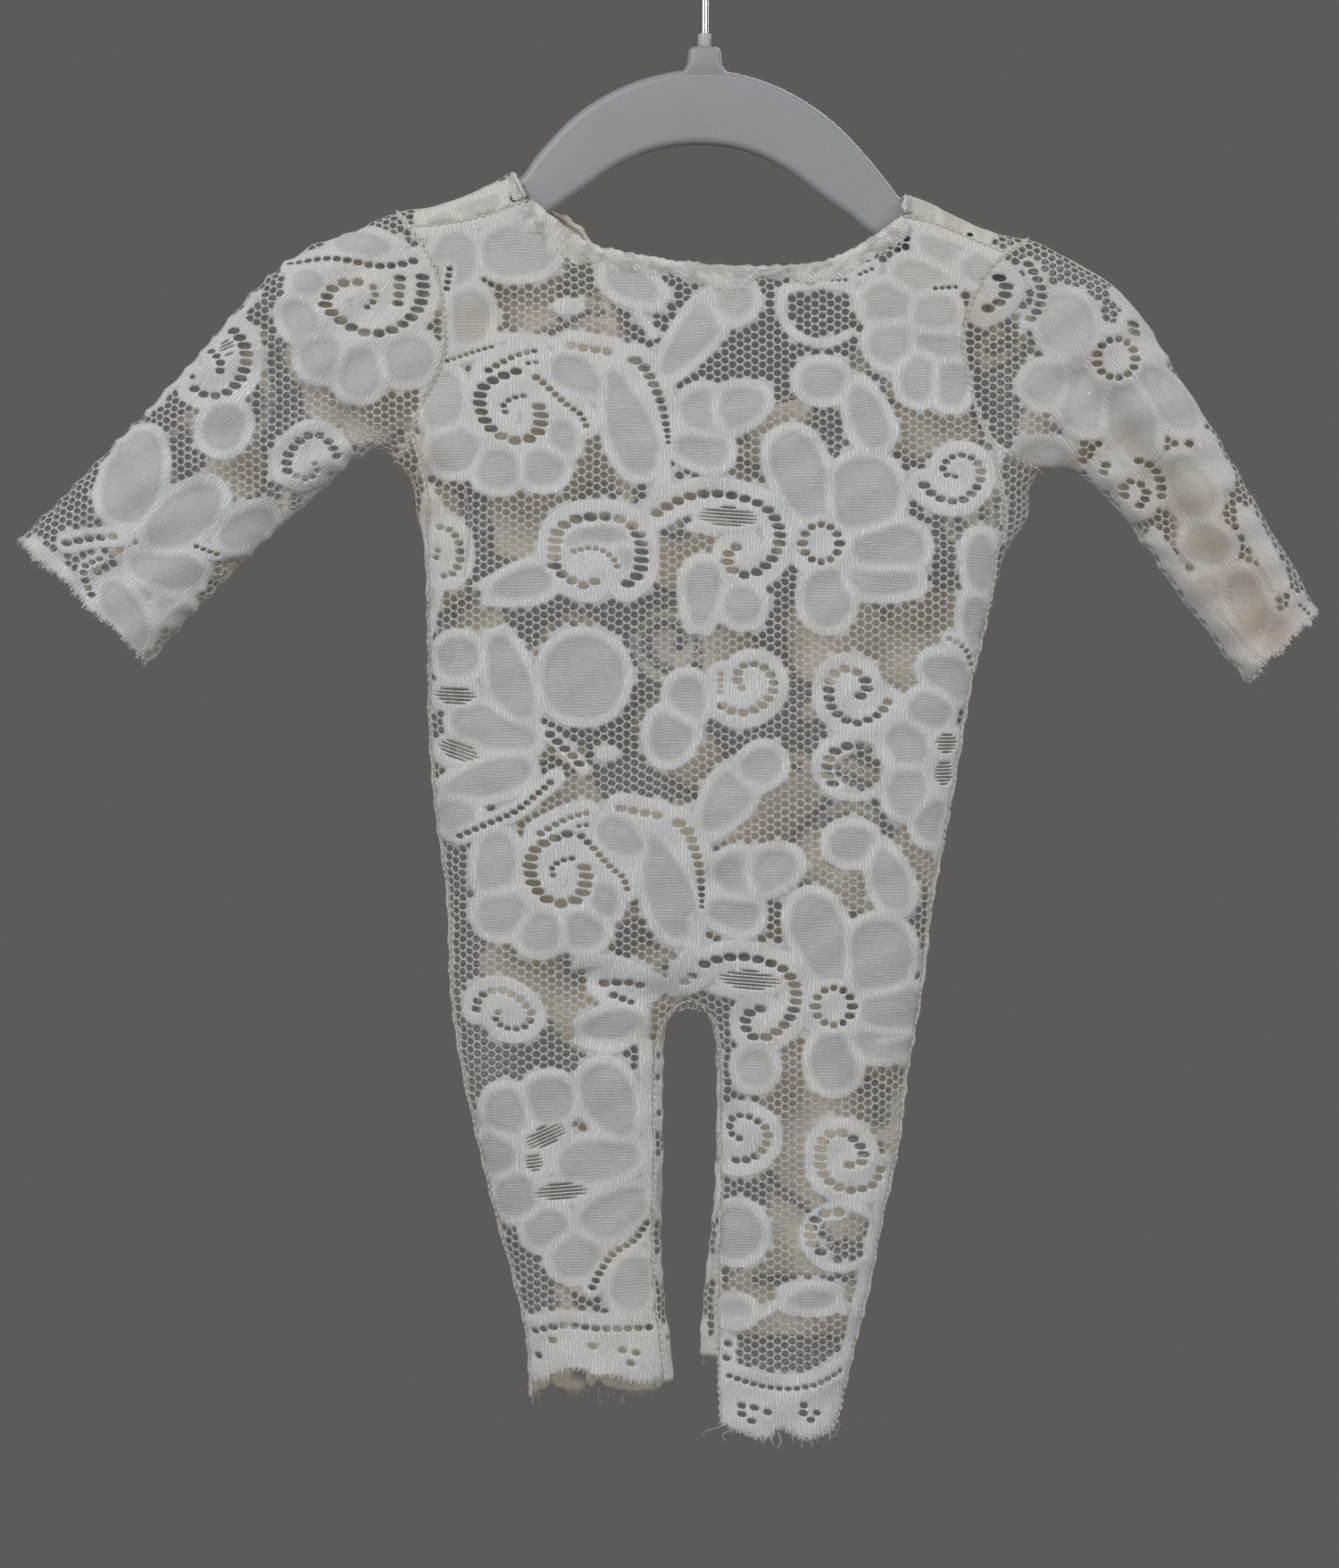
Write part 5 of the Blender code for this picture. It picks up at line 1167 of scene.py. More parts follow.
class Sum:
    """A number that changes over a surface. Python's operators on it add Math nodes."""

    def __init__(self, tree, socket):
        self.tree = tree
        self.socket = socket

    def calculate(self, operation, *others):
        node = add_node(self.tree, "ShaderNodeMath", {"operation": operation}, dict(enumerate((self,) + others)))
        return Sum(self.tree, node.outputs[0])

    __add__ = __radd__ = partialmethod(calculate, "ADD")
    __mul__ = __rmul__ = partialmethod(calculate, "MULTIPLY")
    __sub__ = partialmethod(calculate, "SUBTRACT")
    __rsub__ = partialmethod(calculate, "MULTIPLY_ADD", -1.0)
    __truediv__ = partialmethod(calculate, "DIVIDE")
    __pow__ = partialmethod(calculate, "POWER")
    at_most = partialmethod(calculate, "MINIMUM")
    at_least = partialmethod(calculate, "MAXIMUM")

    def teeth(self):
        """Up and down between 0 and 1, once for each step of 1."""
        return (self.calculate("FRACT") * 2.0 - 1.0).calculate("ABSOLUTE")

    def step(self, low, high):
        """0 below the first value, 1 above the second, smooth between them."""
        node = add_node(self.tree, "ShaderNodeMapRange", {"interpolation_type": "SMOOTHSTEP"},
                        {"Value": self, "From Min": low, "From Max": high})
        return Sum(self.tree, node.outputs["Result"])


def darker(colour, share):
    return tuple(c * share for c in colour)


class Finish:
    """One material and the ways its nodes are made."""

    def __init__(self, name, **constants):
        self.material = bpy.data.materials.new(name)
        self.material.use_nodes = True
        self.tree = self.material.node_tree
        self.shader = self.tree.nodes["Principled BSDF"]
        for socket, value in constants.items():
            self.shader.inputs[socket.replace("_", " ")].default_value = value

    def node(self, kind, settings=None, inputs=None):
        return add_node(self.tree, kind, settings, inputs)

    def number(self, socket):
        return Sum(self.tree, socket)

    def attribute(self, name):
        return self.number(self.node("ShaderNodeAttribute", {"attribute_name": name}).outputs["Fac"])

    def place(self):
        """Object coordinates in millimetres."""
        return self.scaled(self.node("ShaderNodeTexCoord").outputs["Object"], 1.0 / MM)

    def pattern(self):
        """Places on the flat pattern, in millimetres."""
        return self.scaled(self.node("ShaderNodeUVMap", {"uv_map": "cloth"}).outputs["UV"], PATTERN_UNIT)

    def scaled(self, vector, factor):
        return self.node("ShaderNodeVectorMath", {"operation": "SCALE"}, {0: vector, "Scale": factor}).outputs[0]

    def parts(self, vector):
        split = self.node("ShaderNodeSeparateXYZ", inputs={0: vector})
        return [self.number(out) for out in split.outputs]

    def noise(self, vector, scale, detail=2.0, roughness=0.5):
        node = self.node("ShaderNodeTexNoise", inputs={
            "Vector": vector, "Scale": scale, "Detail": detail, "Roughness": roughness})
        return self.number(node.outputs["Fac"])

    def mix(self, share, first, second):
        return self.node("ShaderNodeMix", {"data_type": "RGBA"}, {0: share, 6: first, 7: second}).outputs[2]

    def finish(self, colour, height=None, distance=0.2, strength=1.0, roughness=None):
        put(self.tree, self.shader.inputs["Base Color"], colour)
        if roughness is not None:
            put(self.tree, self.shader.inputs["Roughness"], roughness)
        if height is not None:
            bump = self.node("ShaderNodeBump", inputs={
                "Height": height, "Distance": distance * MM, "Strength": strength})
            put(self.tree, self.shader.inputs["Normal"], bump.outputs["Normal"])
        return self.material


# What the lace and the strips folded from it have in common.
CLOTH = {"Sheen_Weight": 0.15, "Specular_IOR_Level": 0.35, "Subsurface_Weight": 0.25,
         "Subsurface_Radius": (1.0, 0.85, 0.65), "Subsurface_Scale": 0.35 * MM}


def lace_material(name, satin, fill_colour, net_colour, cream, cream_share, grain=0.0):
    """Lace: satin threads that run up, ribbed fills and twisted net."""
    made = Finish(name, Roughness=0.82, Sheen_Roughness=0.5, **CLOTH)
    fill, net, inside, stain = (made.attribute(title) for title in ("fill", "net", "inside", "stain"))
    flat = made.pattern()
    turned = made.node("ShaderNodeMapping", inputs={"Vector": flat, "Rotation": (0.0, 0.0, math.radians(grain))})
    across, up, _ = made.parts(turned.outputs[0])
    drift = made.noise(flat, 0.12, 3.0) - 0.5
    waver = made.noise(flat, 0.42, 2.0) - 0.5
    fray = made.noise(flat, 1.6, 2.0) - 0.5
    place = across + drift * 2.2 + waver * 1.5 + fray * 0.3
    pair = (place / SATIN_PAIR).teeth()
    tooth = (place / (SATIN_PAIR / 2.0)).teeth()
    rib = (up / RIB + drift * 2.4 + waver * 0.8 + fray * 0.25).teeth()
    reach = fill + (pair - 0.5) * 2.0 + fray * 0.8
    ground = reach.step(-0.1, 0.1)
    netting = (net + (pair - 0.5) * 0.5).step(-0.15, 0.1)
    groove = (((1.0 - pair) ** 2.6) * 0.85 + ((1.0 - tooth) ** 1.8) * 0.25 + fray * 0.4).at_least(0.0).at_most(1.0)
    thread = made.noise(flat, 5.0, 2.0)
    # Painted shade: the satin is darkened in the grooves between its threads.
    satin_tone = made.mix(groove, satin, darker(satin, 0.42))
    # Painted shade between the ribs of the fill, with some random tone.
    rib_dark = ((1.0 - rib) ** 1.5) * 0.7 + (thread - 0.5) * 0.4 + waver * 0.4
    fill_tone = made.mix(rib_dark.at_least(0.0), fill_colour, darker(fill_colour, 0.55))
    colour = made.mix(netting, made.mix(ground, satin_tone, fill_tone), net_colour)
    _, _, height_in_view = made.parts(made.place())
    patch = made.noise(made.place(), 0.02, 3.0)
    aged = (height_in_view.step(-175.0, -105.0) * 0.35 + (patch - 0.45).at_least(0.0) * 1.4) * cream_share
    colour = made.mix(aged.at_most(0.8), colour, cream)
    # Browns the stains, and paints shade in the same brown down the right sleeve's trough.
    blot_and_shade = stain * (made.noise(made.place(), 0.12, 3.0) * 1.2 + 0.35) * (ground * 0.25 + 0.8)
    colour = made.mix(blot_and_shade.at_most(0.8), colour, tuple(c * f for c, f in zip(cream, (0.68, 0.60, 0.52))))
    # Painted light: the inner faces, seen through the holes, get a warm light colour in place of the light that comes
    # through the thin cloth and the warm shade inside the garment. They are painted lighter still towards the hems.
    painted_inner_light = made.mix(height_in_view.step(-455.0, -300.0), (0.88, 0.82, 0.70), (0.78, 0.715, 0.61))
    colour = made.mix(inside.step(0.5, 0.9) * 0.85, colour, painted_inner_light)
    relief = (tooth * 0.3 + pair * 0.35 + 0.35) * (1.0 - ground) + rib * ground * 0.35
    relief = relief * (1.0 - netting) + thread * 0.3
    return made.finish(colour, height=relief, distance=0.3, strength=0.9)


def thread_material(name, colour):
    """Twisted sewing or fray thread."""
    made = Finish(name, Roughness=0.8, Sheen_Weight=0.2)
    place = made.place()
    fibre = made.noise(place, 6.0, 3.0)
    return made.finish(made.mix(fibre, colour, darker(colour, 0.6)), height=fibre, distance=0.08)


def strip_material(name, colour, cream, rolled):
    """Folded lace strip: satin threads across it, greyer knit patches and small puckers."""
    made = Finish(name, Roughness=0.8, **CLOTH)
    flat = made.pattern()
    along, over, _ = made.parts(flat)
    wander = made.noise(flat, 0.5, 3.0) - 0.5
    patch = made.noise(flat, 0.16, 2.0)
    fibre = made.noise(flat, 3.0, 3.0)
    place = along + over * 0.3 + wander * 2.0 + fibre * 0.3
    pair = (place / SATIN_PAIR).teeth()
    knit = (over / RIB + wander * 1.5).teeth()
    groove = ((1.0 - pair) ** 2.2) * 0.8 + (fibre - 0.5) * 0.5
    # Painted shade: the satin is darkened in the grooves between its threads.
    satin = made.mix(groove.at_least(0.0).at_most(1.0), colour, darker(colour, 0.45))
    dull = darker(colour, 0.68)
    # Painted shade between the ribs of the knit patches.
    plain = made.mix((((1.0 - knit) ** 1.6) * 0.7).at_most(1.0), dull, darker(dull, 0.55))
    tone = made.mix((patch + (pair - 0.5) * 0.08).step(0.50, 0.56), satin, plain)
    beside, _, _ = made.parts(made.place())
    gathered = beside.step(-50.0, -44.0) * (1.0 - beside.step(-36.0, -30.0)) * rolled
    tone = made.mix((wander * 1.6 + 0.22 + gathered).at_least(0.0).at_most(0.75), tone, cream)
    return made.finish(tone, height=pair * 0.5 + fibre * 0.5 + wander * 1.2, distance=0.35, strength=0.9)


def hanger_material(colour):
    """Moulded plastic with a soft grain, a little dulled by handling."""
    made = Finish("hanger_plastic_moulded", Roughness=0.42, Specular_IOR_Level=0.45)
    place = made.place()
    cloud = made.noise(place, 0.05, 4.0)
    speck = made.noise(place, 2.4, 2.0)
    tone = made.mix(cloud.step(0.35, 0.75) * 0.35, colour, darker(colour, 0.9))
    scuff = made.noise(place, 0.35, 5.0, 0.7).step(0.55, 0.75)
    return made.finish(tone, roughness=0.38 + scuff * 0.2 + speck * 0.06, height=speck * 0.6 + cloud * 0.4,
                       distance=0.05)


def wire_material(colour):
    made = Finish("hook_plated_wire", Metallic=1.0)
    place = made.place()
    smear = made.noise(place, 0.6, 4.0, 0.65)
    drawn = made.node("ShaderNodeMapping", inputs={"Vector": place, "Scale": (4.0, 4.0, 0.4)})
    line = made.noise(drawn.outputs[0], 1.5, 2.0)
    return made.finish(made.mix(smear.step(0.4, 0.8) * 0.4, colour, darker(colour, 0.75)),
                       roughness=0.16 + smear * 0.14 + line * 0.05, height=line, distance=0.02)


def ferrule_material(colour):
    made = Finish("ferrule_soft_plastic", Roughness=0.4)
    place = made.place()
    cloud = made.noise(place, 0.8, 3.0)
    return made.finish(made.mix(cloud, colour, darker(colour, 0.8)),
                       roughness=0.36 + cloud * 0.12, height=cloud, distance=0.04)


# ---------------------------------------------------------------------------------------------
# Bindings, seams and loose threads.

def quads(rings, count, closed=False):
    """Faces between rings of a count of points each, and from the last to the first where they close."""
    faces = []
    for k in range(rings if closed else rings - 1):
        first, after = k * count, (k + 1) % rings * count
        faces += [(first + n, first + (n + 1) % count, after + (n + 1) % count, after + n) for n in range(count)]
    return faces


def tube_arrays(line, radii, sides=5):
    """Points and faces of a closed tube along a line of 3-D points, with its radius at each."""
    line = np.asarray(line, float)
    along = unit(np.gradient(line, axis=0))
    seed = np.array([0.0, 1.0, 0.0]) if abs(along[0][1]) < 0.9 else np.array([1.0, 0.0, 0.0])
    angles = np.arange(sides) * 2.0 * math.pi / sides
    points = []
    for spot, way, radius in zip(line, along, np.broadcast_to(radii, len(line))):
        seed = unit(seed - way * (seed @ way))
        ring = np.cos(angles)[:, None] * seed + np.sin(angles)[:, None] * np.cross(way, seed)
        points.append(spot + radius * ring)
    ends = [tuple(range(sides))[::-1], tuple(range(sides * (len(line) - 1), sides * len(line)))]
    return np.vstack(points), ends + quads(len(line), sides)


def joined_mesh(name, parts):
    """One mesh object from many lists of points and faces."""
    points, faces, count = [], [], 0
    for some_points, some_faces in parts:
        points.append(some_points)
        faces += [tuple(count + n for n in face) for face in some_faces]
        count += len(some_points)
    return mesh_object(name, np.vstack(points), faces)


# A binding's section: from the neck edge into the cloth, and up from the middle of the cloth.
BINDING_PROFILE = [
    (9, 0.02), (8.5, 0.16), (7.6, 0.42), (6.4, 0.66), (5, 0.86), (3.6, 1.02), (2.4, 1.14), (1.3, 1.22), (0.5, 1.2),
    (-0.1, 1.08), (-0.6, 0.82), (-0.95, 0.42), (-1, 0), (-0.8, -0.36), (-0.45, -0.42), (-0.3, -0.1), (-0.2, 0.1),
    (1.5, 0.05), (5, 0.02)]


def binding(name, form, stations, seed):
    """A folded strip sewn over a neck edge. Each station has an edge place, a way in, a side, a width and
    a bulk."""
    rng = np.random.default_rng(seed)
    count = len(stations)

    def rough(span, spare, amount):
        """A random number for each station, averaged over a span of them."""
        drawn = rng.normal(0.0, 1.0, count + 2 * spare)
        return np.convolve(drawn, np.ones(span) / span, "same")[spare:-spare] * amount

    swell, fringe, wander = rough(3, 8, 0.4), rough(2, 8, 0.3), rough(7, 15, 2.4)
    rows, along, here = [], [], 0.0
    for k, (spot, way, side, width, bulk) in enumerate(stations):
        flat = form.flatten(np.array([spot]))[0]
        if k:
            here += float(np.linalg.norm(flat - previous)) if side == previous_side else 0.8
        previous, previous_side = flat, side
        along.append(here)
        depth = np.array([w * (width + wander[k]) / 9.0 if w > 1.0 else w for w, _ in BINDING_PROFILE])
        depth = np.where(depth < 0.0, depth * max(0.5, bulk + fringe[k] / bulk**2), depth)
        height = np.array([h * bulk + (swell[k] * min(1.0, h) if h > 0.3 else 0.0) for _, h in BINDING_PROFILE])
        inside = np.maximum(depth, 0.0)
        spots = form.fold_up(flat + inside[:, None] * way)
        spots[depth <= 0.0] = spot
        middle, normal = form.wall(spots, side)
        ahead = form.wall(form.fold_up((flat + 1.5 * way)[None, :]), side)[0][0]
        over = unit(form.wall(np.array([spot]), side)[0][0] - ahead)
        rows.append(middle + normal * height[:, None] - over * np.minimum(depth, 0.0)[:, None])
    columns = len(BINDING_PROFILE)
    points = np.vstack(rows)
    ends = [tuple(range(columns)), tuple(range(columns * (count - 1), columns * count))[::-1]]
    thing = mesh_object(name, points, ends + [(a, d, c, b) for a, b, c, d in quads(count, columns)])
    outward(thing)
    over = np.concatenate([[0.0], np.cumsum(np.linalg.norm(np.diff(np.array(BINDING_PROFILE), axis=0), axis=1))])
    lay_flat(thing.data, np.stack([np.repeat(along, columns), np.tile(over, count)], axis=1))
    return thing


def neck_ways(line):
    """The way into the cloth along a neck line that runs from left to right."""
    tangents = unit(np.gradient(line, axis=0))
    return np.stack([tangents[:, 1], -tangents[:, 0]], axis=1)


def stitch_tree(material):
    """Stitches along lines: each a small rounded bar, laid on the line's direction."""
    tree = bpy.data.node_groups.new("seam_stitches", "GeometryNodeTree")
    face = tree.interface
    face.new_socket("Geometry", in_out="INPUT", socket_type="NodeSocketGeometry")
    defaults = (("Stitch Pitch", 2.2 * MM), ("Stitch Length", 1.6 * MM), ("Thread Width", 0.34 * MM), ("Slant", 0.0))
    for title, value in defaults:
        face.new_socket(title, in_out="INPUT", socket_type="NodeSocketFloat").default_value = value
    face.new_socket("Geometry", in_out="OUTPUT", socket_type="NodeSocketGeometry")

    node = partial(add_node, tree)
    given = node("NodeGroupInput")
    curve = node("GeometryNodeMeshToCurve", inputs={"Mesh": given.outputs["Geometry"]})
    spread = node("GeometryNodeResampleCurve", {"mode": "LENGTH"},
                  {"Curve": curve.outputs["Curve"], "Length": given.outputs["Stitch Pitch"]})
    bead = node("GeometryNodeMeshUVSphere", inputs={"Segments": 6, "Rings": 4, "Radius": 0.5})
    size = node("ShaderNodeCombineXYZ", inputs={
        "X": given.outputs["Thread Width"], "Y": given.outputs["Thread Width"], "Z": given.outputs["Stitch Length"]})
    tangent = node("GeometryNodeInputTangent")
    align = node("FunctionNodeAlignRotationToVector", {"axis": "Z"}, {"Vector": tangent.outputs[0]})
    lean = node("ShaderNodeCombineXYZ", inputs={"X": given.outputs["Slant"]})
    turn = node("FunctionNodeRotateRotation", {"rotation_space": "LOCAL"}, {"Rotation": align.outputs[0]})
    euler = node("FunctionNodeEulerToRotation", inputs={0: lean.outputs[0]})
    tree.links.new(euler.outputs[0], turn.inputs[1])
    laid = node("GeometryNodeInstanceOnPoints", inputs={
        "Points": spread.outputs["Curve"], "Instance": bead.outputs["Mesh"],
        "Rotation": turn.outputs[0], "Scale": size.outputs[0]})
    real = node("GeometryNodeRealizeInstances", inputs={0: laid.outputs[0]})
    smooth = node("GeometryNodeSetShadeSmooth", inputs={0: real.outputs[0]})
    coloured = node("GeometryNodeSetMaterial", inputs={"Geometry": smooth.outputs[0], "Material": material})
    node("NodeGroupOutput", inputs={"Geometry": coloured.outputs[0]})
    return tree


def lines_object(name, lines):
    """Open lines of 3-D points as one mesh of edges."""
    points, edges, count = [], [], 0
    for line in lines:
        points += [tuple(point) for point in np.asarray(line) * MM]
        edges += [(count + k, count + k + 1) for k in range(len(line) - 1)]
        count += len(line)
    mesh = bpy.data.meshes.new(name)
    mesh.from_pydata(points, edges, [])
    return linked(name, mesh)


def grown(name, source, tree, **sizes):
    """The plain mesh that a tree makes from an object, which is removed."""
    modifier = source.modifiers.new("Grow", "NODES")
    modifier.node_group = tree
    names = {item.name: item.identifier for item in tree.interface.items_tree
             if item.item_type == "SOCKET" and item.in_out == "INPUT"}
    for title, value in sizes.items():
        modifier[names[title.replace("_", " ")]] = value
    graph = bpy.context.evaluated_depsgraph_get()
    mesh = bpy.data.meshes.new_from_object(source.evaluated_get(graph))
    mesh.name = name
    source.modifiers.remove(modifier)
    bpy.data.objects.remove(source)
    return linked(name, mesh)


# ---------------------------------------------------------------------------------------------
# The garment's lines, made once.

def garment():
    crotch = Path.through(CROTCH)
    left = Half("left", TOP_LEFT, UNDER_LEFT, ARMHOLE_LEFT, SHOULDER_LEFT, crotch.rows(0, 7))
    right = Half("right", TOP_RIGHT, UNDER_RIGHT, ARMHOLE_RIGHT, SHOULDER_RIGHT, crotch.rows(9, len(CROTCH) - 1))
    form = Form([(left.top, True), (left.under, True), (crotch, True), (right.under, False), (right.top, False)])
    return form, left, right


def body_chart(mirrored=False):
    """The chart of the front, or of the back, where the same repeat lies the other way round."""
    tables = charted(BODY, REPEATED, LEGS), charted(REPEATED, place=second_repeat)
    whole = {kind: tables[0][kind] + tables[1][kind] for kind in tables[0]}
    if mirrored:
        whole = charted(whole, place=lambda x, z: (3.0 - x, z + 12.0))
        whole["fills"] += [(-43.0, -443.6, 5.4, 3.6, 0), (-23.0, -443.4, 6.6, 3.4, -8)]
        whole["eyes"] = [(-35.6, -441.4), (-16.4, -440.8), (-48.6, -440.0)]
    chart = Chart(**whole)
    if mirrored:
        chart.eyelets = [eyelet for eyelet in chart.eyelets if eyelet[1] < -112.0]
    return chart


def sleeve_chart(rows, shift=0.0):
    """The chart of a sleeve, on its back a part of a repeat lower down."""
    return Chart(**charted(rows, place=lambda x, z: (x + 0.2 * shift, z - shift)))


FORM, LEFT, RIGHT = garment()


def settings():
    return bpy.context.scene.romper


def colour_property(title, about, value):
    return bpy.props.FloatVectorProperty(name=title, description=about, default=value, subtype="COLOR",
                                         size=3, min=0.0, max=1.0)


class RomperSettings(bpy.types.PropertyGroup):
    """Colours and sizes of the romper and its hanger."""

    satin: colour_property("Satin", "Colour of the dense satin threads", (0.64, 0.644, 0.646))
    fill: colour_property("Fill", "Colour of the ribbed grounds inside the motifs", (0.435, 0.44, 0.44))
    net: colour_property("Net", "Colour of the twisted net threads", (0.41, 0.412, 0.405))
    cream: colour_property("Cream", "Tint that age gives to the lace", (0.54, 0.475, 0.37))
    hanger: colour_property("Hanger", "Colour of the moulded hanger", (0.255, 0.257, 0.278))
    wire: colour_property("Wire", "Colour of the hook's plating", (0.80, 0.84, 0.86))
    ferrule: colour_property("Ferrule", "Colour of the hook's collar", (0.40, 0.40, 0.42))
    mesh_step: bpy.props.FloatProperty(name="Satin Step", description="Spacing of the satin's mesh in millimetres",
                                       default=1.0, min=0.6, max=3.0)
    background: colour_property("Background", "Colour of the plain wall and floor", (0.110, 0.1035, 0.1015))


class ROMPER_OT_front(bpy.types.Operator):
    """Make the front of the romper in lace"""
    bl_idname = "romper.front"
    bl_label = "Front"

    def execute(self, context):
        lace = Lace(FORM, body_chart(), 11, settings().mesh_step)
        lace.add(front_outline(LEFT, RIGHT), FRONT)
        thing = lace.mesh("front_lace")
        thing.data.materials.append(shared_lace("lace_front_threads", 0.5))
        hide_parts("front")
        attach(thing, "root")
        return {"FINISHED"}


class ROMPER_OT_back(bpy.types.Operator):
    """Make the back of the romper with its wraps over the shoulders and round the sides"""
    bl_idname = "romper.back"
    bl_label = "Back"

    def execute(self, context):
        lace = Lace(FORM, body_chart(mirrored=True), 12, settings().mesh_step * 1.25)
        lace.add(back_outline(LEFT, RIGHT), BACK)
        for outline in back_flaps(LEFT, RIGHT):
            lace.add(outline, FRONT)
        thing = lace.mesh("back_lace")
        thing.data.materials.append(shared_lace("lace_back_threads", 0.75))
        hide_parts("back")
        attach(thing, "root")
        return {"FINISHED"}


class ROMPER_OT_sleeves(bpy.types.Operator):
    """Make both sleeves as tubes of lace"""
    bl_idname = "romper.sleeves"
    bl_label = "Sleeves"

    def execute(self, context):
        for half, rows, grain, soft, cream in ((LEFT, SLEEVE_LEFT, 38.0, 0.01, 0.5),
                                               (RIGHT, SLEEVE_RIGHT, -40.0, 0.05, 0.7)):
            lace = Lace(FORM, sleeve_chart(rows), 13 if half is LEFT else 14, settings().mesh_step)
            lace.add(sleeve_outline(half, FRONT), FRONT)
            lace.chart = sleeve_chart(rows, 11.0)
            lace.add(sleeve_outline(half, BACK), BACK)
            thing = lace.mesh("sleeve_lace_" + half.name)
            thing.data.materials.append(shared_lace("lace_sleeve_threads_" + half.name, cream, grain, soft))
            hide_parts("sleeve_" + half.name)
            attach(thing, "root")
        return {"FINISHED"}


def shared_lace(name, cream_share, grain=0.0, soft=0.0):
    """The lace in the settings' colours, its fills drawn towards the satin where it is soft."""
    s = settings()
    fill = tuple(first * (1.0 - soft) + second * soft for first, second in zip(s.fill, s.satin))
    satin = tuple(c * (1.0 - 2.2 * soft) for c in s.satin)
    return lace_material(name, satin, fill, tuple(s.net), tuple(s.cream), cream_share, grain)


class ROMPER_OT_bindings(bpy.types.Operator):
    """Make the folded satin strips on the neck edges"""
    bl_idname = "romper.bindings"
    bl_label = "Neck bindings"

    def execute(self, context):
        line = Path.through(NECK_FRONT).spaced(0.8)
        stations = [
            (spot, way, FRONT, 4.8 + 2.2 * lump(spot[0], -50.0, 12.0), 1.0 + 0.5 * lump(spot[0], -52.0, 7.0))
            for spot, way in zip(line, neck_ways(line))]
        front = binding("neck_binding_front_satin", FORM, stations[1:-1], 21)
        line = Path.through(NECK_BACK).spaced(0.9)
        rolls = [1.7 * lump(x, -39.5, 6.0) * (1.0 + 0.22 * math.sin(1.5 * x)) for x in line[:, 0]]
        stations = [(spot, way, BACK, 5.4, 1.0 + roll) for spot, way, roll in zip(line, neck_ways(line), rolls)]
        flaps = []
        for start, end, sign in (((-51.0, -104.5), (-55.0, -95.6), -1.0), ((57.5, -102.1), (57.5, -109.0), 1.0)):
            flap = straight(np.array(start), np.array(end), 0.9)
            way = unit(flap[-1] - flap[0])
            into = np.array([-way[1], way[0]])
            if into[0] * sign < 0:
                into = -into
            flaps.append([(spot, into, FRONT, 2.6, 0.8) for spot in flap])
        back = binding("neck_binding_back_satin", FORM, flaps[0][1:-1] + stations[1:-1] + flaps[1][1:-1], 22)
        satin, cream = tuple(settings().satin), tuple(settings().cream)
        for thing, node, rolled in ((front, "neck_binding_front", 0.08), (back, "neck_binding_back", 0.4)):
            thing.data.materials.append(strip_material(node + "_threads", satin, cream, rolled))
            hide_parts(node)
            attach(thing, "root")
        return {"FINISHED"}


def lump(x, middle, reach):
    """1 at a place, falling to nothing away from it."""
    return math.exp(-((x - middle) / reach) ** 2)


def on_cloth(spots, side, lift):
    middle, normal = FORM.wall(np.asarray(spots, float), side)
    return middle + normal * lift


class ROMPER_OT_seams(bpy.types.Operator):
    """Sew the pieces together with stitches along every seam"""
    bl_idname = "romper.seams"
    bl_label = "Seams"

    def execute(self, context):
        thread = thread_material("seam_thread_cream", (0.78, 0.72, 0.58))
        tree = stitch_tree(thread)
        lines = []
        for half in (LEFT, RIGHT):
            lines.append(on_cloth(half.shoulder_seam.spaced(1.0), FRONT, 0.5))
            for side in (FRONT, BACK):
                lines.append(on_cloth(half.armhole.spaced(1.0), side, 0.5))
            lines.append(on_cloth(half.side_seam(FRONT), FRONT, 0.45))
            lines.append(on_cloth(half.inseam_seam(FRONT), FRONT, 0.45))
        lines.append(on_cloth(crotch_seam(), FRONT, 0.45))
        seams = grown("seam_stitches", lines_object("seam_lines", lines), tree, Stitch_Pitch=2.1 * MM,
                      Stitch_Length=1.7 * MM, Thread_Width=0.4 * MM, Slant=0.35)
        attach(seams, "root")
        return {"FINISHED"}


def wisp(start, way, length, rng, radius=0.16, blunt=0.45):
    """A short loose thread that leaves the cloth along its way, wanders and sags."""
    shares = np.linspace(0.0, 1.0, 6)[:, None]
    away = unit(way + rng.normal(0.0, 0.28, 3))
    wander = rng.normal(0.0, 0.16, 3) * length
    sag = np.array([0.0, 0.0, -0.12 * length])
    line = start - way * 0.5 + away * (length + 0.5) * shares + (wander + sag) * shares**2 - wander * shares**3 * 0.6
    return tube_arrays(line, radius * np.linspace(1.0, blunt, 6), 4)


def raw_edges():
    """Each raw edge: its line in the front view, its side and the way out of the cloth in the view."""
    edges = []
    for half in (LEFT, RIGHT):
        for side in (FRONT, BACK):
            cuff = sleeve_outline(half, side)[1][0]
            along = unit(cuff[-1] - cuff[0])
            out = np.array([along[1], -along[0]])
            edges.append((cuff, side, out * math.copysign(1.0, half.sign * out[0]), 1.0, 1.3))
            outer, inner = half.side_seam(side, False)[-1], half.inseam_seam(side)[-1]
            edges.append((half.hem(side, outer, inner), side, np.array([0.0, -1.0]), 0.9, 1.9))
    return edges


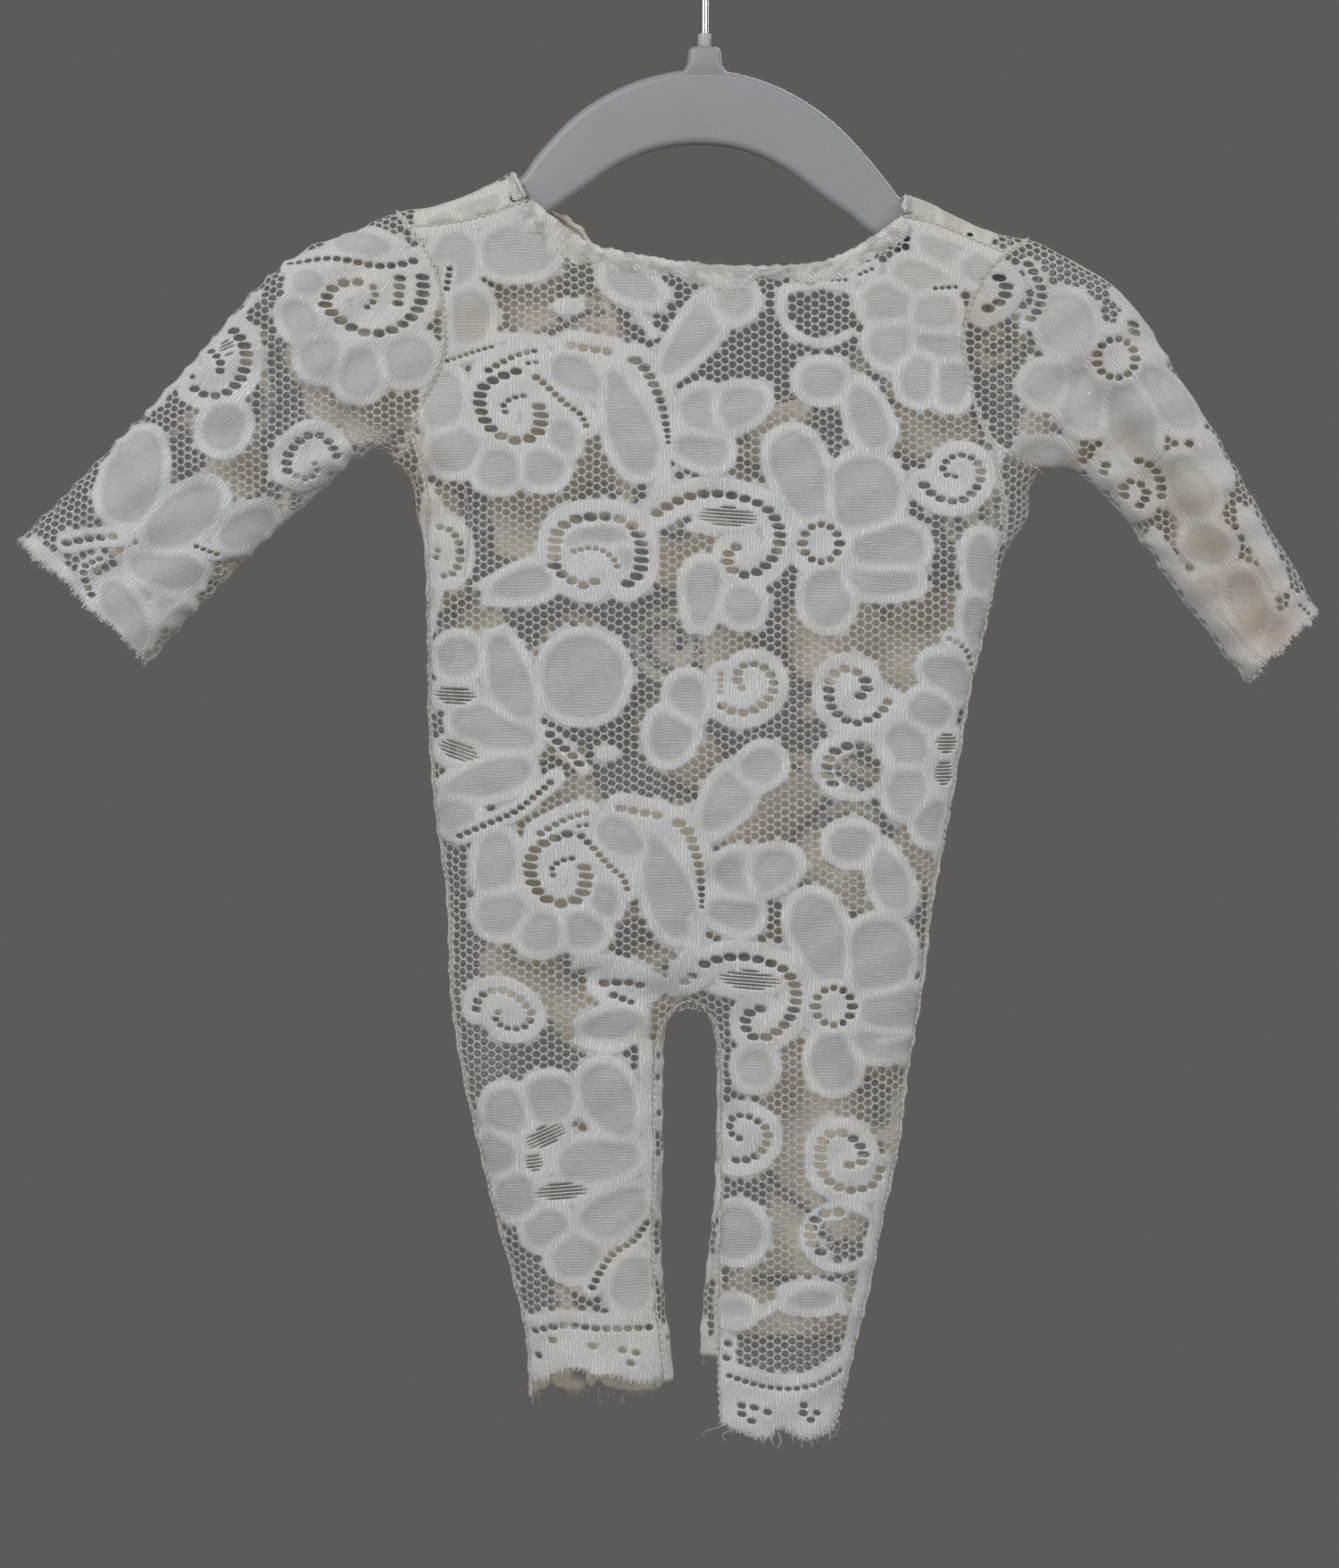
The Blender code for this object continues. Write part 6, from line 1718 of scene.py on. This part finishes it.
# Loose threads: side, points in the front view, and radius.
LOOSE_THREADS = [
    (BACK, [(-49.4, -441), (-49.8, -444), (-48.6, -446.4), (-49, -449)], 0.16),
    (BACK, [(-46.4, -444), (-47.4, -447), (-46.8, -449.4)], 0.14),
    (BACK, [(-30.2, -445.4), (-30.6, -447.8), (-29.4, -450.2)], 0.14),
    (BACK, [(-22.6, -445.8), (-23.6, -448), (-23, -449.2)], 0.13),
    (BACK, [(-15, -443), (-14.2, -444.6), (-12.4, -444.2), (-11.6, -442.8)], 0.15),
    (FRONT, [(6.6, -453.6), (3.4, -455), (0.6, -456.4), (-0.6, -458)], 0.13),
    (FRONT, [(8, -455), (5.4, -457), (6.2, -458.6)], 0.13),
    (FRONT, [(21, -456), (21.8, -458.6), (20.8, -460.6)], 0.16),
    (FRONT, [(19.6, -455.6), (19.2, -458.4), (20, -459.8)], 0.14),
    (FRONT, [(36.4, -452.6), (38.2, -454.2), (37.4, -456.2)], 0.15),
    (FRONT, [(35.6, -454.4), (37.2, -456.4), (36, -458)], 0.13),
    (BACK, [(2.2, -434.6), (3.4, -436.6), (5, -436)], 0.14),
    (BACK, [(-0.6, -434.8), (0.4, -436.8), (-0.2, -438)], 0.13),
    (FRONT, [(-27, -136.4), (-28.8, -131.6), (-31.4, -131), (-33, -133.6)], 0.15),
    (FRONT, [(-68, -187), (-67.2, -196), (-67.8, -206), (-68.6, -212)], 0.13)]


class ROMPER_OT_frays(bpy.types.Operator):
    """Fray the raw cuffs and hems, and hang the loose threads"""
    bl_idname = "romper.frays"
    bl_label = "Frayed threads"

    def execute(self, context):
        rng = np.random.default_rng(77)
        parts = []
        for edge, side, out, least, most in raw_edges():
            line = Path(edge).spaced(0.8)[1:-1]
            middle, normal = FORM.wall(line, side)
            ahead = np.array([out[0], 0.0, out[1]])
            for spot, up in zip(middle, normal):
                base = spot + up * rng.uniform(-0.1, 0.45)
                if rng.random() < 0.82:
                    parts.append(wisp(base, ahead, rng.uniform(0.4, least), rng, 0.36, 0.8))
                if rng.random() < 0.2:
                    parts.append(wisp(base, ahead, rng.uniform(1.0, most * 1.5), rng))
        for side, points, radius in LOOSE_THREADS:
            line = Path.through(points).spaced(0.4)
            middle, normal = FORM.wall(line, side)
            lift = 0.5 + 0.35 * np.sin(np.linspace(0.0, math.pi, len(line)))
            radii = np.linspace(radius, radius * 0.6, len(line))
            parts.append(tube_arrays(middle + normal * lift[:, None], radii))
        for spot in Path(crotch_fold()).spaced(1.15)[1:-1]:
            loop = np.linspace(0.0, 2.0 * math.pi, 13)
            size = rng.uniform(0.75, 1.15)
            ring = np.stack([spot[0] + size * np.cos(loop) * 0.75 + rng.normal(0.0, 0.12),
                             -1.6 + 0.5 * np.sin(loop * 2.0), spot[1] - 0.5 + size * np.sin(loop)], axis=1)
            parts.append(tube_arrays(ring[:-1], 0.22))
        frays = joined_mesh("frayed_threads", parts)
        frays.data.materials.append(thread_material("fray_thread_white", (0.58, 0.565, 0.53)))
        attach(frays, "root")
        return {"FINISHED"}


def bow(centre, radius, start, end, steps):
    """Points on an arc in the front view, its angles in degrees from +X."""
    angles = np.radians(np.linspace(start, end, steps + 1))
    return [(centre[0] + radius * math.cos(a), centre[1] + radius * math.sin(a)) for a in angles]


def hook_route():
    """The wire's middle line: up from the post, to the right, and over to its free end."""
    bend, swing = 17.0 + WIRE_RADIUS, math.radians(66.0)
    neck = bend * math.cos(swing) / (1.0 - math.cos(swing))
    stem_top = -17.0 - bend * math.sin(swing) - neck * math.sin(swing)
    route = [(0.0, -65.9), (0.0, -60.0), (0.0, -53.0)]
    route += bow((neck, stem_top), neck, 180.0, 180.0 - math.degrees(swing), 18)
    route += bow((0.0, -17.0), bend, -math.degrees(swing), 196.0, 80)[1:]
    return np.array([(x, 0.0, z) for x, z in route])


# The hanger's arch before it leans: middle of each section and its width. Its arms: share of the way along
# the shoulder and width. Its post: height, half width and half depth.
ARCH = [
    (-49, -36.4, 13), (-40.6, -28.6, 16.4), (-28.6, -18.2, 19.2), (-15.7, -11.9, 20.6), (0, -9.3, 21.6),
    (15.7, -11.9, 20.6), (28.6, -18.2, 19.4), (41, -28.3, 17.2), (48, -34.6, 14.6), (53.2, -39.4, 13.2)]
ARM = [(0.13, 13.6), (0.4, 13.4), (0.66, 13), (0.93, 11.6)]
POST = [
    (-60, 3.6, 2.4), (-60.7, 4.4, 2.8), (-63, 4.8, 3), (-65, 5.1, 3), (-66.6, 6, 2.8), (-68.2, 8, 2.4),
    (-72, 10, 2.1), (-74, 11, 1.9)]
HANGER_TOP, HANGER_TILT, ARM_GAP = -67.8, 1.4, 1.35
# The collar's section, as radius and height, and the wire's radii at its rounded end.
COLLAR = [(1.2, -59.9), (1.75, -59.9), (1.85, -59.6), (1.85, -56.5), (1.7, -56.12), (1.4, -56), (1.2, -56)]
WIRE_END = (1.12, 0.95, 0.55)


def rounded(half_width, half_depth, corner, steps=9):
    """Points round a rectangle with round corners, as across and deep."""
    points = []
    for quarter, (side, face) in enumerate(((1, 1), (-1, 1), (-1, -1), (1, -1))):
        angles = np.radians(90.0 * (quarter + np.linspace(0.0, 1.0, steps)))
        points.append(np.stack([np.cos(angles) * corner + side * (half_width - corner),
                                np.sin(angles) * corner + face * (half_depth - corner)], axis=1))
    return np.vstack(points)


def lofted(rings):
    """Points and faces of a solid through rings of equal counts."""
    count = len(rings[0])
    ends = [tuple(range(count)), tuple(range(count * (len(rings) - 1), count * len(rings)))]
    return np.vstack(rings), ends + quads(len(rings), count)


def outward(thing):
    """Turns every face of a closed mesh outward."""
    shape = bmesh.new()
    shape.from_mesh(thing.data)
    bmesh.ops.recalc_face_normals(shape, faces=shape.faces)
    shape.to_mesh(thing.data)
    shape.free()
    return thing


def hanger_parts():
    """The hanger's arch and arms, and its post."""
    tilt = math.radians(HANGER_TILT)
    rows = [(x * math.cos(tilt) + z * math.sin(tilt), HANGER_TOP - x * math.sin(tilt) + z * math.cos(tilt), width)
            for x, z, width in ARCH]
    for half in (LEFT, RIGHT):
        for share, width in ARM:
            way = half.fold_shoulder.tangents(share)
            x, z = half.fold_shoulder.at(share) + np.array([-way[1], way[0]]) * -half.sign * (ARM_GAP + width / 2.0)
            rows.append((x, z, width))
    rows.sort()
    line = Path.through([row[:2] for row in rows])
    marks = line.along[::Path.STEPS] / line.length
    widths = Path.through([(mark * 100.0, row[2]) for mark, row in zip(marks, rows)])
    rings = []
    for share in np.linspace(0.0, 1.0, 150):
        (x, z), way = line.at(share), line.tangents(share, 0.01)
        width = np.interp(share * 100.0, widths.points[:, 0], widths.points[:, 1])
        past = max(0.0, 1.0 - min(share, 1.0 - share) / 0.012)
        end = 0.6 + 0.4 * math.sqrt(1.0 - past**2)
        ring = rounded(width / 2.0 * end, 2.5 * end, 2.3 * end)
        rings.append(np.array([(x - way[1] * across, deep, z + way[0] * across) for across, deep in ring]))
    post = Path.through([(z, half_width) for z, half_width, _ in POST])
    depth = np.array([(z, half_depth) for z, _, half_depth in POST])[::-1]
    rows = [(z, half_width, np.interp(z, depth[:, 0], depth[:, 1])) for z, half_width in post.spaced(0.35)]
    stack = [np.array([(across, deep, z) for across, deep in rounded(w, d, min(1.9, d - 0.1))]) for z, w, d in rows]
    return [lofted(rings), lofted(stack)]


def turned(profile, sides=32):
    """Points and faces of a ring turned on the hook's axis, from its closed profile of radius and height."""
    rings = [np.array([(r * math.cos(a), r * math.sin(a), z) for r, z in profile])
             for a in np.arange(sides) * 2.0 * math.pi / sides]
    return np.vstack(rings), quads(sides, len(profile), closed=True)


class ROMPER_OT_hanger(bpy.types.Operator):
    """Make the hanger, its collar and its hook"""
    bl_idname = "romper.hanger"
    bl_label = "Hanger and hook"

    def execute(self, context):
        s = settings()
        route = hook_route()
        radii = np.full(len(route), WIRE_RADIUS)
        radii[-3:] = WIRE_END
        for name, parts, material, colour, node, slot in (
                ("hanger_smooth", hanger_parts(), hanger_material, s.hanger, "hanger", "hanger_plastic"),
                ("hook_round_wire", [tube_arrays(route, radii, 20)], wire_material, s.wire, "hook", "hook_wire"),
                ("ferrule_smooth", [turned(COLLAR)], ferrule_material, s.ferrule, "hook_ferrule",
                 "ferrule_plastic")):
            thing = outward(joined_mesh(name, parts))
            thing.data.materials.append(material(tuple(colour)))
            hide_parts(node)
            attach(thing, "root")
        return {"FINISHED"}


# The stage. Its lamps and its camera are placed in metres.
FLOOR_RADIUS, FLOOR_HEIGHT, FLOOR_SIDES = 2500.0, -2000.0, 96
SKY_STRENGTH = 0.42
LAMPS = (("key_light", (-0.9, -1.6, 0.75), 26.0), ("side_light", (1.3, -1.0, 0.2), 9.0),
         ("rim_light", (0.5, 1.5, 0.6), 14.0))
LAMP_SIZE = 0.9
AIM = (0.0, 0.0, -0.26)
CAMERA_PLACE, CAMERA_LENS = (-0.010, -1.45, -0.2711), 116.1


class ROMPER_OT_stage(bpy.types.Operator):
    """Set up the floor, the plain background, soft lights and the camera"""
    bl_idname = "romper.stage"
    bl_label = "Stage"

    def execute(self, context):
        scene = context.scene
        scene.view_settings.view_transform = "Standard"
        floor = mesh_object("studio_floor", disc(FLOOR_RADIUS, FLOOR_HEIGHT, FLOOR_SIDES),
                            [tuple(range(FLOOR_SIDES))], smooth=False)
        tone = tuple(settings().background)
        paper = Finish("studio_paper", Roughness=0.9)
        grain = paper.noise(paper.place(), 0.01, 3.0)
        floor.data.materials.append(paper.finish(paper.mix(grain, tone, darker(tone, 0.97))))
        world = bpy.data.worlds.new("studio")
        world.use_nodes = True
        scene.world = world
        tree = world.node_tree
        light = tree.nodes["Background"]
        light.inputs["Color"].default_value = (1.0, 1.0, 1.0, 1.0)
        light.inputs["Strength"].default_value = SKY_STRENGTH
        seen = add_node(tree, "ShaderNodeBackground", inputs={"Color": tone})
        rays = add_node(tree, "ShaderNodeLightPath")
        straight_on, mirrored, through = (Sum(tree, rays.outputs["Is %s Ray" % kind])
                                          for kind in ("Camera", "Glossy", "Transmission"))
        plain = straight_on.at_least(mirrored).at_least(through)
        mixed = add_node(tree, "ShaderNodeMixShader", inputs={0: plain, 1: light.outputs[0], 2: seen.outputs[0]})
        tree.links.new(mixed.outputs[0], tree.nodes["World Output"].inputs["Surface"])
        for name, place, power in LAMPS:
            lamp = bpy.data.lights.new(name, "AREA")
            lamp.size = LAMP_SIZE
            lamp.energy = power
            thing = linked(name, lamp)
            thing.location = place
            thing.rotation_euler = (Vector(AIM) - Vector(place)).to_track_quat("-Z", "Y").to_euler()
        camera = bpy.data.cameras.new("camera")
        camera.lens = CAMERA_LENS
        thing = linked("camera", camera)
        thing.location = CAMERA_PLACE
        thing.rotation_euler = (math.pi / 2.0, 0.0, 0.0)
        scene.camera = thing
        return {"FINISHED"}


def disc(radius, height, count):
    angles = np.arange(count) * 2.0 * math.pi / count
    return np.stack([radius * np.cos(angles), radius * np.sin(angles), np.full(count, height)], axis=1)


class ROMPER_PT_panel(bpy.types.Panel):
    """The romper's tools in the sidebar"""
    bl_idname = "ROMPER_PT_panel"
    bl_label = "Lace Romper"
    bl_space_type = "VIEW_3D"
    bl_region_type = "UI"
    bl_category = "Romper"

    def draw(self, context):
        column = self.layout.column()
        for name in ("satin", "fill", "net", "cream", "hanger", "wire", "ferrule", "mesh_step", "background"):
            column.prop(context.scene.romper, name)
        for operator in OPERATORS:
            column.operator(operator.bl_idname)


OPERATORS = (ROMPER_OT_front, ROMPER_OT_back, ROMPER_OT_sleeves, ROMPER_OT_bindings, ROMPER_OT_seams,
             ROMPER_OT_frays, ROMPER_OT_hanger, ROMPER_OT_stage)
CLASSES = (RomperSettings,) + OPERATORS + (ROMPER_PT_panel,)


def register():
    for made in CLASSES:
        bpy.utils.register_class(made)
    bpy.types.Scene.romper = bpy.props.PointerProperty(type=RomperSettings)


def unregister():
    del bpy.types.Scene.romper
    for made in reversed(CLASSES):
        bpy.utils.unregister_class(made)


def main():
    register()
    for operator in (bpy.ops.romper.front, bpy.ops.romper.back, bpy.ops.romper.sleeves, bpy.ops.romper.bindings,
                     bpy.ops.romper.seams, bpy.ops.romper.frays, bpy.ops.romper.hanger, bpy.ops.romper.stage):
        operator()


if __name__ == "__main__":
    main()
